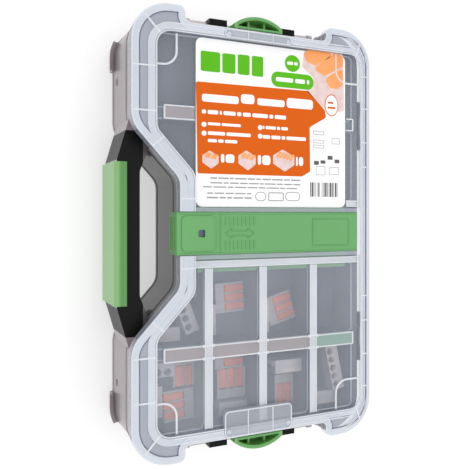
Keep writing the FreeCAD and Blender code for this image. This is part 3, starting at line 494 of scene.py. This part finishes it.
# The lid's raised ribs on the sunk panel and on its border, as lists for the white and the clear ribs.
def lidRibParts():
    r = lidRibs
    floor = caseShape["panelTop"]
    crest = floor + r["height"]
    white, clear = [], []
    for side in (-1, 1):
        for x in r["crossing"]:
            white.append(carry([(side * x, -75), (side * x, -62.5)], bead(1.1, top - 0.3, top + 0.35), False))
        white.append(carry([(side * 49.3, -64.2), (side * 55.0, -57.7)], bead(1.1, top - 0.3, top + 0.35), False))
        white.append(carry([(side * 20, -48.2), (side * 20, -40)], bead(1.1, top - 0.3, top + 0.35), False))
        for y in (-1, 1):
            edge = -61.5 if y < 0 else 70.8
            tip = (side * 122.4, -68.4) if y < 0 else (side * 122.4, 70.4)
            root = (side * 112.9, edge + 1.6) if y < 0 else (side * 112.9, edge - 3.2)
            white.append(carry([root, tip], bead(1.2, top - 0.3, top + 0.35), False))
            pocket = r["pocket"]
            wall, turn = pocket["front"] if y < 0 else pocket["back"]
            loop = roundedOutline([(side * pocket["x"][1], turn, 0), (side * pocket["x"][0], turn, pocket["round"]),
                                   (side * pocket["x"][0], wall, 0)], 12)
            white.append(carry(loop, bead(1.3, floor - 0.05, crest), False))
        labelled = side < 0
        for y in r["column"]:
            if labelled:
                continue
            across = (y - r["columnWidth"] / 2, y + r["columnWidth"] / 2)
            clear.append(plate(pad((20.5, window["half"] - 0.5), across, 0.6), floor - 0.05, floor + 0.3, 0.2))
            for edge in across:
                white.append(carry([(20.5, edge), (window["half"] - 0.5, edge)], bead(0.55, floor, crest), False))
        runs = [(r["bandEnds"][0], -39.6), (61.6, r["bandEnds"][1])] if labelled else [r["bandEnds"]]
        for x in r["band"]:
            for start, end in runs:
                white.append(carry([(side * x, start), (side * x, end)], bead(0.9, floor - 0.05, crest), False))
            for y in [] if labelled else r["column"]:
                for step in (-2.9, 2.9):
                    white.append(plate(ring((side * x, y + step), r["knob"] / 2, 16), floor - 0.05, crest + 0.2,
                                       0.3))
        for y in r["bandEnds"]:
            white.append(carry([(side * r["band"][0], y), (side * r["band"][1], y)],
                               bead(1.1, floor - 0.05, crest), False))
        railRuns = [(r["railEnds"][0], -39.4), (61.4, r["railEnds"][1])] if labelled else [r["railEnds"]]
        for start, end in railRuns:
            for x in r["rail"]:
                white.append(carry([(side * x, start), (side * x, end)], bead(0.9, floor - 0.05, crest), False))
            clear.append(plate(pad(sorted((side * r["rail"][0], side * r["rail"][1])), (start, end), 1.6),
                               floor - 0.05, floor + 0.3, 0.1))
        for x in (116.3, 119.4):
            white.append(carry([(side * x, -52), (side * x, -20)], bead(0.8, top - 0.3, top + 0.3), False))
            white.append(carry([(side * x, 22), (side * x, 58)], bead(0.8, top - 0.3, top + 0.3), False))
        for x in (42, 58, 80, 101):
            white.append(carry([(side * x, 71.4), (side * x, 75.6)], bead(1.0, top - 0.3, top + 0.3), False))
    return white, clear


whiteRibs, clearRibs = lidRibParts()
rowStart, rowTurn, rowEnd = lidRibs["bandEnds"][0], lidRibs["column"][2] + 2.2, lidRibs["bandEnds"][1]
rowSpan, rowFloor = lidRibs["band"], caseShape["panelTop"]
putPiece("lid_row_band", [plate(pad(rowSpan, (rowStart, rowTurn), 0.5), rowFloor - 0.05, rowFloor + 0.12),
                          plate(pad((-rowSpan[1], -rowSpan[0]), (rowStart, -39.6), 0.5), rowFloor - 0.05,
                                rowFloor + 0.12)],
         "rowFill", "lid")
putPiece("lid_row_band_green", [plate(pad(rowSpan, (rowTurn, rowEnd), 0.5), rowFloor - 0.05, rowFloor + 0.12)],
         "rowGreen", "lid")
putPiece("lid_white_ribs", whiteRibs, "frostedRib", "lid")
putPiece("lid_clear_ribs", clearRibs, "clearRib", "lid")

latchHousing = {"x": (104.5, 120.6), "labelEdge": 114.6, "y": (-22.5, 21.5), "rise": 1.1, "round": 3,
                "dots": (-19.6, 18.8), "ribs": (-7.5, 8.5)}


# The raised seat in the lid beside each side latch: a softened plate, cross ribs and round dots.
def latchHousingParts():
    h = latchHousing
    plates, ribs, dots = [], [], []
    for side in (-1, 1):
        across = sorted((side * (h["labelEdge"] if side < 0 else h["x"][0]), side * h["x"][1]))
        plates.append(plate(pad(across, h["y"], h["round"]), 61.4, top + h["rise"] * 0.5, 0.5))
        rim = pad((across[0] + 0.7, across[1] - 0.7), (h["y"][0] + 0.7, h["y"][1] - 0.7), h["round"] - 0.7)
        ribs.append(carry(rim, bead(0.7, top, top + h["rise"])))
        for y in h["ribs"]:
            ribs.append(carry([(across[0] + 1, y), (across[1] - 1, y)], bead(0.6, top, top + h["rise"] * 0.9),
                              False))
        for y in h["dots"]:
            dots.append(plate(ring((side * 117, y), 1.5, 24), top, top + h["rise"] * 0.9, 0.35))
            dots.append(plate(ring((side * 117, y), 0.7, 18), top, top + h["rise"] * 1.15, 0.25))
    return plates, ribs, dots


seatPlates, seatRibs, seatDots = latchHousingParts()
putPiece("latch_seat_plates", seatPlates, "rimPlastic", "lid")
putPiece("latch_seat_ribs", seatRibs, "frostedRib", "lid")
putPiece("latch_seat_dots", seatDots, "frostedBand", "lid")
print("lid ribs done")


labelArt = {
    "layer": 0.04, "sheetTop": 61.65,
    "field": [(-88.0, -38.8), (-88.8, 33.8), (-77.4, 46.0), (-72.8, 46.7), (-66.0, 35.0), (-38.1, 35.4),
              (-34.8, 29.6), (-34.8, -37.8)],
    "body": [(-113.5, 31.1), (-116.4, 46.7), (-114.7, 59.2), (-77.7, 60.0), (-77.3, 54.7), (-79.4, 44.3),
             (-89.0, 32.6), (-97.3, 38.1), (-103.5, 29.6)],
    "levers": [[(-112.0, 30.4), (-114.5, 33.4), (-115.8, 38.9), (-115.3, 52.3), (-111.3, 49.1), (-105.2, 38.9),
               (-107.3, 32.6)],
               [(-103.7, 38.1), (-115.0, 53.1), (-113.2, 59.2), (-106.7, 59.2), (-99.5, 46.0), (-101.5, 40.4)],
               [(-97.3, 45.5), (-106.3, 59.2), (-95.1, 59.2), (-91.8, 54.7), (-92.0, 49.8)]],
    "mark": [(-106.2, -94.4, -35.9, -24.0), (-106.2, -94.6, -22.7, -14.5), (-106.6, -94.6, -13.1, -5.5),
             (-106.7, -94.5, -4.1, 3.4)],
    "pill": [(-98.9, -89.5, 8.7, 37.7)],
    "pillText": [(-96.3, -92.1, 11.7, 34.7)],
    "disc": (-104.9, 23.0),
    "discText": (-106.5, -103.3, 19.4, 26.6),
    "title": [(-82.6, -75.3, -35.2, -12.5), (-84.8, -75.7, -11.1, -2.4), (-82.7, -75.9, -0.5, 17.6),
              (-85.1, -75.3, 19.0, 37.3)],
    "subtitle": (-73.2, -68.5, -35.2, 18.6),
    "bullets": [(-63.4, -33.9), (-58.3, -33.9), (-63.7, 1.3), (-58.5, 1.3)],
    "points": [(-65.3, -62.7, -31.6, -11.1), (-60.2, -56.9, -31.6, -4.8), (-55.7, -52.7, -31.6, -13.4),
               (-65.5, -62.4, 3.0, 19.8), (-60.0, -56.5, 3.0, 32.3)],
    "icons": [(-48.4, -37.7, -34.9, -25.0), (-49.5, -37.4, -12.7, -1.6), (-51.1, -37.5, 9.9, 24.3)],
    "counts": [(-46.9, -41.3, -23.6, -15.2), (-47.3, -40.8, -0.2, 8.1), (-47.3, -41.0, 25.4, 30.4)],
    "lines": [(-33.2, -31.5, -30.0, 28.5), (-30.4, -28.8, -30.0, 28.5), (-27.9, -26.4, -34.5, 26.2),
              (-24.3, -22.7, -32.0, -4.4), (-21.8, -20.0, -32.3, -4.1)],
    "marks": [(-24.5, -19.4, -1.6, 5.1), (-24.3, -19.5, 7.0, 16.8), (-24.8, -19.6, 18.4, 28.1)],
    "code": (-31.3, -22.3, 35.4, 55.1),
    "pictograms": [(-63.9, -61.7, 37.7, 45.1), (-58.2, -56.4, 37.7, 45.1), (-55.0, -53.2, 37.7, 45.1),
                   (-45.0, -42.5, 38.1, 41.6), (-45.5, -43.4, 42.8, 46.3), (-48.6, -46.1, 47.9, 51.5),
                   (-46.4, -44.0, 53.0, 56.5), (-60.0, -56.4, 51.1, 56.7), (-41.5, -36.2, 39.6, 46.0),
                   (-41.2, -36.8, 49.1, 55.9)],
    "oval": (-81.0, 50.7),
    "ovalText": [(-83.6, -81.6, 47.9, 51.9), (-80.4, -78.4, 47.9, 53.5)],
}


# Ink shapes as very thin plates, one layer above another on the label sheet.
def printed(name, outlines, layer, ink):
    low = labelArt["sheetTop"] + (layer - 1) * labelArt["layer"] - 0.01
    parts = [plate(shape, low, low + labelArt["layer"] + 0.01) for shape in outlines]
    putPiece(name, parts, ink, "lid")


# Rounded rectangles from rows of (x low, x high, y low, y high).
def blocks(rows, radius):
    return [pad(row[:2], row[2:], radius) for row in rows]


# A line of plain short bars, one per word, that stands for a line of print.
def wordBars(row, bars, gap, height=0.62):
    lowX, highX = row[:2]
    middle, half = (lowX + highX) / 2, (highX - lowX) / 2 * height
    shares = np.array(bars, float)
    room = (row[3] - row[2]) - gap * (len(bars) - 1)
    widths = shares / shares.sum() * room
    starts = row[2] + np.concatenate([[0], np.cumsum(widths + gap)[:-1]])
    return [pad((middle - half, middle + half), (start, start + width), half * 0.6, 4)
            for start, width in zip(starts, widths)]


sheetCorners = np.array(nodes["label_sheet"].bound_box) * 1000
backing = pad((sheetCorners[:, 0].min() + 0.2, sheetCorners[:, 0].max() - 0.2),
              (sheetCorners[:, 1].min() + 0.2, sheetCorners[:, 1].max() - 0.2), 3)
putPiece("label_backing", [plate(backing, caseShape["panelTop"] - 0.16, caseShape["panelTop"] - 0.08)], "whiteInk",
         "lid")
art = labelArt
printed("label_orange_field", [roundedOutline([(x, y, 1.2) for x, y in art["field"]], 5)], 1, "orangeInk")
printed("label_clear_body", [roundedOutline([(x, y, 1.5) for x, y in art["body"]], 5)], 1, "pinkInk")
printed("label_picture_levers", [roundedOutline([(x, y, 2.0) for x, y in lever], 6) for lever in art["levers"]], 2,
        "paleOrangeInk")
printed("label_green_shapes", blocks(art["mark"], 1.2) + [ring(art["disc"], 5.2, 40)] + blocks(art["pill"], 4.4), 2,
        "greenInk")
pillBars = [bar for row in art["pillText"] for bar in wordBars(row, [7, 4, 1], 1.4)]
printed("label_white_print", pillBars + wordBars(art["discText"], [2, 1.2], 0.8)
        + [bar for row, bars in zip(art["title"], ([7], [2], [6], [4])) for bar in wordBars(row, bars, 1.0, 0.62)]
        + wordBars(art["subtitle"], [2, 5, 1, 6, 2, 4, 8, 2, 6], 1.0, 0.5)
        + [ring(spot, 1.5, 20) for spot in art["bullets"]]
        + [bar for row, bars in zip(art["points"], ([7, 11], [9, 13], [5, 3, 7], [1, 6, 2, 4], [4, 5, 2, 11]))
           for bar in wordBars(row, bars, 0.8, 0.62)]
        + [bar for row in art["counts"] for bar in wordBars(row, [1, 2.6], 0.8, 0.9)], 3, "whiteInk")
printed("label_oval_edge", [ring(art["oval"], (7.0, 4.9), 44)], 3, "orangeInk")
printed("label_oval", [ring(art["oval"], (6.4, 4.4), 44)], 4, "whiteInk")
printed("label_oval_print", wordBars(art["ovalText"][0], [4], 0.5) + wordBars(art["ovalText"][1], [5], 0.5), 5,
        "orangeInk")


# A small flat picture of a connector: a six-sided body with an orange top of one patch for each pole.
def connectorIcon(row, poles):
    x0, x1, y0, y1 = row
    wide, deep = y1 - y0, x1 - x0
    body = [(x0 + deep * 0.28, y0), (x0, y0 + wide * 0.45), (x0 + deep * 0.3, y1), (x0 + deep * 0.68, y1),
            (x1, y0 + wide * 0.55), (x0 + deep * 0.66, y0)]
    patches = []
    start, end = np.array([x0 + deep * 0.36, y0 + wide * 0.1]), np.array([x0 + deep * 0.5, y0 + wide * 0.86])
    lean = np.array([-deep * 0.26, wide * 0.2])
    for k in range(poles):
        a, b = start + (end - start) * (k / poles), start + (end - start) * ((k + 0.86) / poles)
        patches.append(roundedOutline([(*(a), 0.4), (*(b), 0.4), (*(b + lean), 0.4), (*(a + lean), 0.4)], 4))
    return roundedOutline([(x, y, 0.8) for x, y in body], 5), patches


icons = [connectorIcon(row, poles) for row, poles in zip(art["icons"], (2, 3, 5))]
printed("label_icon_bodies", [body for body, _ in icons], 2, "pinkInk")
printed("label_icon_levers", [patch for _, patches in icons for patch in patches], 3, "paleOrangeInk")
smallPrint = [bar for row,
              bars in zip(art["lines"], ([5, 8, 3, 9, 6, 4, 7, 9, 5, 8], [9, 4, 7, 6, 8, 3, 9, 5, 7, 6],
                                                   [6, 9, 4, 8, 7, 5, 9, 4, 8], [5, 8, 7, 9, 4], [9, 5, 4, 8, 6]))
              for bar in wordBars(row, bars, 0.7, 0.5)]
printed("label_small_print", smallPrint, 1, "greyInk")
codeShares = np.array([2, 1, 3, 1, 1, 2, 1, 3, 2, 1, 1, 4, 1, 2, 1, 1, 3, 1, 2, 2, 1, 1, 3, 1, 2, 1, 1, 2, 3, 1,
                       1], float)
codeEdges = np.concatenate([[0], np.cumsum(codeShares)]) / codeShares.sum()
codeLow, codeWide = art["code"][2], art["code"][3] - art["code"][2]
codeBars = [pad(art["code"][:2], (codeLow + codeWide * codeEdges[k], codeLow + codeWide * codeEdges[k + 1]), 0.02,
                2)
            for k in range(0, len(codeShares), 2)]
printed("label_bar_code", codeBars, 1, "blackInk")


# A thin rectangular frame of print: its path carried with a flat profile.
def outlined(row, width, radius):
    low = labelArt["sheetTop"] - 0.01
    path = pad(row[:2], row[2:], radius)
    return carry(path, [(-width / 2, low), (width / 2, low), (width / 2, low + 0.05), (-width / 2, low + 0.05)])


frames = [outlined(row, 0.35, 0.5) for row in art["pictograms"][:3] + art["pictograms"][7:]]
frames += [outlined(art["marks"][0], 0.5, 3), outlined(art["marks"][1], 0.6, 0.8),
           outlined(art["marks"][2], 0.5, 2.4)]
putPiece("label_frames", frames, "greyInk", "lid")
printed("label_dark_patches", blocks(art["pictograms"][3:7], 0.3), 1, "blackInk")
print("label done")


barTrim = {"top": 64, "thumb": {"y": (-48, -27.5), "half": 10.4, "rise": 0.9, "round": 3},
           "eye": (0, -36.0), "eyeRound": 2.5, "field": {"y": (-21.5, -3.5)},
           "plaque": {"y": (36, 62), "half": 8.4}}


# The raised thumb block with a round eye: rings that run from the block's edge in to the eye's rim.
def thumbBlock():
    b = barTrim
    t = b["thumb"]
    outer = pad((-t["half"], t["half"]), t["y"], t["round"], 9)
    spots = outer - np.array(b["eye"])
    turn = np.arctan2(spots[:, 1], spots[:, 0])
    eye = np.array(b["eye"]) + b["eyeRound"] * np.column_stack([np.cos(turn), np.sin(turn)])
    inward = sideways(outer, True)
    low, high = b["top"] - 0.3, b["top"] + t["rise"]
    levels = [(outer, low), (outer, high - 0.5), (outer + inward * 0.2, high - 0.15), (outer + inward * 0.6, high),
              (eye + (eye - np.array(b["eye"])) * 0.25, high), (eye, high - 0.25), (eye, low)]
    rings = [np.column_stack([path, np.full(len(path), z)]) for path, z in levels]
    return np.concatenate(rings), gridFaces(len(levels), len(outer), True)


# Raised details of the slide bar: edge beads, grip ribs, an outline of a double arrow and a framed plaque.
def barParts():
    b = barTrim
    low, high = b["top"] - 0.2, b["top"] + 0.45
    parts = [thumbBlock()]
    for side in (-1, 1):
        parts.append(carry([(side * 11.6, -50), (side * 11.6, 67.4)], bead(1.0, low, high - 0.15), False))
    start, end = b["field"]["y"]
    for y in np.linspace(start, end, 8):
        for side in (-1, 1):
            parts.append(carry([(side * 4.4, y), (side * 9.6, y)], bead(0.75, low, high), False))
    middle, reach = (start + end) / 2, (end - start) / 2
    arrow = [(0, middle - reach), (-3.2, middle - reach + 4), (-1.4, middle - reach + 4),
             (-1.4, middle + reach - 4),
             (-3.2, middle + reach - 4), (0, middle + reach), (3.2, middle + reach - 4), (1.4, middle + reach - 4),
             (1.4, middle - reach + 4), (3.2, middle - reach + 4)]
    parts.append(carry(roundedOutline([(x, y, 0.3) for x, y in arrow], 3), bead(0.55, low, high)))
    plaque = pad((-b["plaque"]["half"], b["plaque"]["half"]), b["plaque"]["y"], 1.2)
    parts.append(carry(plaque, bead(0.7, low, high)))
    parts.append(carry([(-11, -24.6), (11, -24.6)], bead(0.8, low, high), False))
    return parts


putPiece("slide_bar_details", barParts(), "greenBar", "slider")
# painted shade: a dark disc just below the round eye of the slide bar, where the hole shows shade
eyeShade = [plate(ring(barTrim["eye"], barTrim["eyeRound"] * 0.96, 30), 62.55, 62.75)]
putPiece("slide_bar_eye_shade", eyeShade, "shadowLine", "slider")


# One shallow rib across the front lip, as a thin block just proud of it.
def lipRib(height):
    outline = pad((-9.5, 9.5), (-50.95, -50.45), 0.2)
    return plate(outline, height - 0.45, height + 0.45)


putPiece("slide_bar_lip_ribs", [lipRib(z) for z in (50.5, 53, 55.5, 58)], "greenGrip", "slider")
print("slide bar done")


latchTrim = {"half": 15.5, "bulge": 5.5, "outer": 130, "top": 63, "inner": 121.8}


# The bead that follows a side latch's bowed rim, and one straight rib along its inner side.
def latchParts(side):
    t = latchTrim
    bow = (t["half"] ** 2 + t["bulge"] ** 2) / (2 * t["bulge"])
    reach = math.asin((t["half"] - 1.6) / bow)
    turn = np.linspace(-reach, reach, 25)
    rim = np.column_stack([t["outer"] - bow + (bow - 1.0) * np.cos(turn), (bow - 1.0) * np.sin(turn)])
    parts = [carry(rim * [side, 1], bead(1.2, t["top"] - 0.3, t["top"] + 0.35), False)]
    parts.append(carry([(side * (t["inner"] + 0.7), -13.6), (side * (t["inner"] + 0.7), 13.6)],
                       bead(1.0, t["top"] - 0.3, t["top"] + 0.25), False))
    return parts


putPiece("latch_rim_left", latchParts(-1), "greenBar", "latch_left")
putPiece("latch_rim_right", latchParts(1), "greenBar", "latch_right")


baseTrim = {"inset": 1.5}


# A low horizontal bead on the base's outer wall: a small profile carried along its outline.
def wallBead(height, proud, half):
    path = caseOutline()
    left = sideways(path, True)
    back = np.clip((path[:, 1] - 60) / 12, 0, 1) * 3.3
    wall = path + left * (baseTrim["inset"] + back)[:, None]
    profile = [(0.3, height - half), (-proud, height - half * 0.4), (-proud, height + half * 0.4),
               (0.3, height + half)]
    return carry(wall, profile)


putPiece("base_wall_beads", [wallBead(44.0, 0.35, 0.7), wallBead(6.2, 0.3, 0.6)], "baseWall", "base")


# The depth of the case's front face at a distance from the middle: flat, then round the corner's arc.
def frontFace(x):
    c = caseShape
    past = np.maximum(x - (c["halfLength"] - c["round"]), 0)
    return c["front"] + c["round"] - np.sqrt(c["round"] ** 2 - past ** 2)


# Short upright ridges on the two stacking feet of the front wall, and a small stop above each.
def footRidges():
    parts = []
    for side in (-1, 1):
        for x in np.linspace(101.6, 116.4, 7):
            y = frontFace(x)
            parts.append(plate(pad(sorted((side * x - 0.45, side * x + 0.45)), (y - 0.4, y + 1.2), 0.3, 3), 3.2,
                               9.8, 0.3))
        x = np.linspace(100.2, 117.6, 14)
        stop = [(0.3, 10.4), (0.3, 11.6), (-1.6, 11.6), (-1.6, 10.4)]
        parts.append(carry(np.column_stack([side * x, frontFace(x)]), [(side * near, z) for near, z in stop],
                           False))
    return parts


putPiece("base_foot_ridges", footRidges(), "baseWall", "base")


# A shallow round boss on an upright wall: rings about an axis that lies flat.
def wallDisc(middle, facing, radius, proud):
    turn = np.linspace(0, 2 * math.pi, 28, endpoint=False)
    out = np.array([facing[0], facing[1], 0.0])
    across = np.array([-facing[1], facing[0], 0.0])
    rows = [(radius, -0.6), (radius, proud * 0.6), (radius * 0.86, proud), (radius * 0.5, proud * 0.55)]
    rings = [np.array(middle) + out * depth + r * (np.cos(turn)[:, None] * across + np.sin(turn)[:, None] * [0, 0,
                                                                                                             1])
             for r, depth in rows]
    faces = gridFaces(len(rows), len(turn), False)
    last = (len(rows) - 1) * len(turn)
    faces += [list(range(len(turn)))[::-1], [last + k for k in range(len(turn))]]
    return np.concatenate(rings), faces


bosses = []
for side in (-1, 1):
    bosses.append(wallDisc((side * 47.6, -61.2, 40), (-side * 0.66, -0.75), 3.0, 0.8))
    bosses.append(wallDisc((side * 92, -74.5, 16), (0, -1), 2.2, 0.5))
putPiece("base_wall_bosses", bosses, "baseWall", "base")


# Painted highlights: pale rounded beads around the mouths of the tray's compartments, standing for the highlight on
# their rounded rims.
def compartmentRimHighlights():
    rims = []
    columns = [(-64.3, -32.0), (-30.0, 2.3), (4.3, 36.6), (38.6, 68.8)]
    for side in (-1, 1):
        for near, far in columns:
            rims.append(carry(pad(sorted((side * 72.5, side * 115.0)), (near + 0.2, far - 0.2), 3),
                              bead(0.9, 55.9, 56.25)))
        for near, far in columns[1:]:
            rims.append(carry(pad(sorted((side * 19.8, side * 66.1)), (near + 0.2, far - 0.2), 3),
                              bead(0.9, 55.9, 56.25)))
        first = roundedOutline([(side * 19.8, -32.2, 2), (side * 66.1, -32.2, 3), (side * 66.1, -64.0, 3),
                                (side * 57.0, -64.0, 4), (side * 33.0, -43.0, 7), (side * 19.8, -43.0, 2)], 6)
        rims.append(carry(first, bead(0.9, 55.9, 56.25)))
    return rims


# painted highlight: the pale beads stand for the light on the compartments' rims
putPiece("compartment_rim_highlights", compartmentRimHighlights(), "frostedBand", "base")
print("base details done")


floorLook = {"dark": (0.50, 0.50, 0.503), "light": (0.53, 0.53, 0.533), "drift": 3, "grain": 900, "smooth": 0.6,
             "matt": 0.8, "bump": 0.02}
paints["paleFloor"] = mouldedPlastic("paleFloor", floorLook)
floorMesh = bpy.data.meshes.new("floor")
floorMesh.from_pydata([(-4, -4, 0), (4, -4, 0), (4, 4, 0), (-4, 4, 0)], [], [(0, 1, 2, 3)])
floorShader = paints["paleFloor"].node_tree.nodes["Principled BSDF"]
floorShader.inputs["Emission Color"].default_value = (1, 1, 1, 1)
floorShader.inputs["Emission Strength"].default_value = 0.5
floor = bpy.data.objects.new("floor", floorMesh)
floorMesh.materials.append(paints["paleFloor"])
bpy.context.scene.collection.objects.link(floor)

cameraPlan = {"place": (-10.7, -155.5, 435.9), "lean": 28.3, "focal": 666, "principal": (325, 215)}
lean = math.radians(cameraPlan["lean"])
eye = bpy.data.cameras.new("camera")
camera = bpy.data.objects.new("camera", eye)
bpy.context.scene.collection.objects.link(camera)
right = (0, math.cos(lean), math.sin(lean))
up = (-1, 0, 0)
behind = (0, -math.sin(lean), math.cos(lean))
rows = [(right[k], up[k], behind[k], cameraPlan["place"][k] * 0.001) for k in range(3)]
camera.matrix_world = Matrix([*rows, (0, 0, 0, 1)])
eye.sensor_width = 36
eye.lens = cameraPlan["focal"] * 36 / 470
eye.shift_x = -(cameraPlan["principal"][0] - 235) / 470
eye.shift_y = (cameraPlan["principal"][1] - 235) / 470
eye.clip_start = 0.01
bpy.context.scene.camera = camera

lightPlan = [
    {"name": "soft_top", "place": (0.1, 0.15, 1.1), "size": 1.3, "power": 6.5},
    {"name": "soft_handle", "place": (0.25, -1.1, 0.55), "size": 0.9, "power": 3.2},
    {"name": "soft_side", "place": (-1.0, 0.25, 0.7), "size": 0.8, "power": 2.0},
]
for plan in lightPlan:
    lamp = bpy.data.lights.new(plan["name"], "AREA")
    lamp.size = plan["size"]
    lamp.energy = plan["power"]
    holder = bpy.data.objects.new(plan["name"], lamp)
    holder.location = plan["place"]
    aim = -holder.location
    holder.rotation_euler = aim.to_track_quat("-Z", "Y").to_euler()
    bpy.context.scene.collection.objects.link(holder)

world = bpy.data.worlds.new("studio")
bpy.context.scene.world = world
world.use_nodes = True
backdrop = world.node_tree.nodes["Background"]
backdrop.inputs["Color"].default_value = (1.0, 1.0, 1.0, 1)
backdrop.inputs["Strength"].default_value = 0.68
bpy.context.scene.view_settings.view_transform = "Standard"
print("floor, lights and camera done")
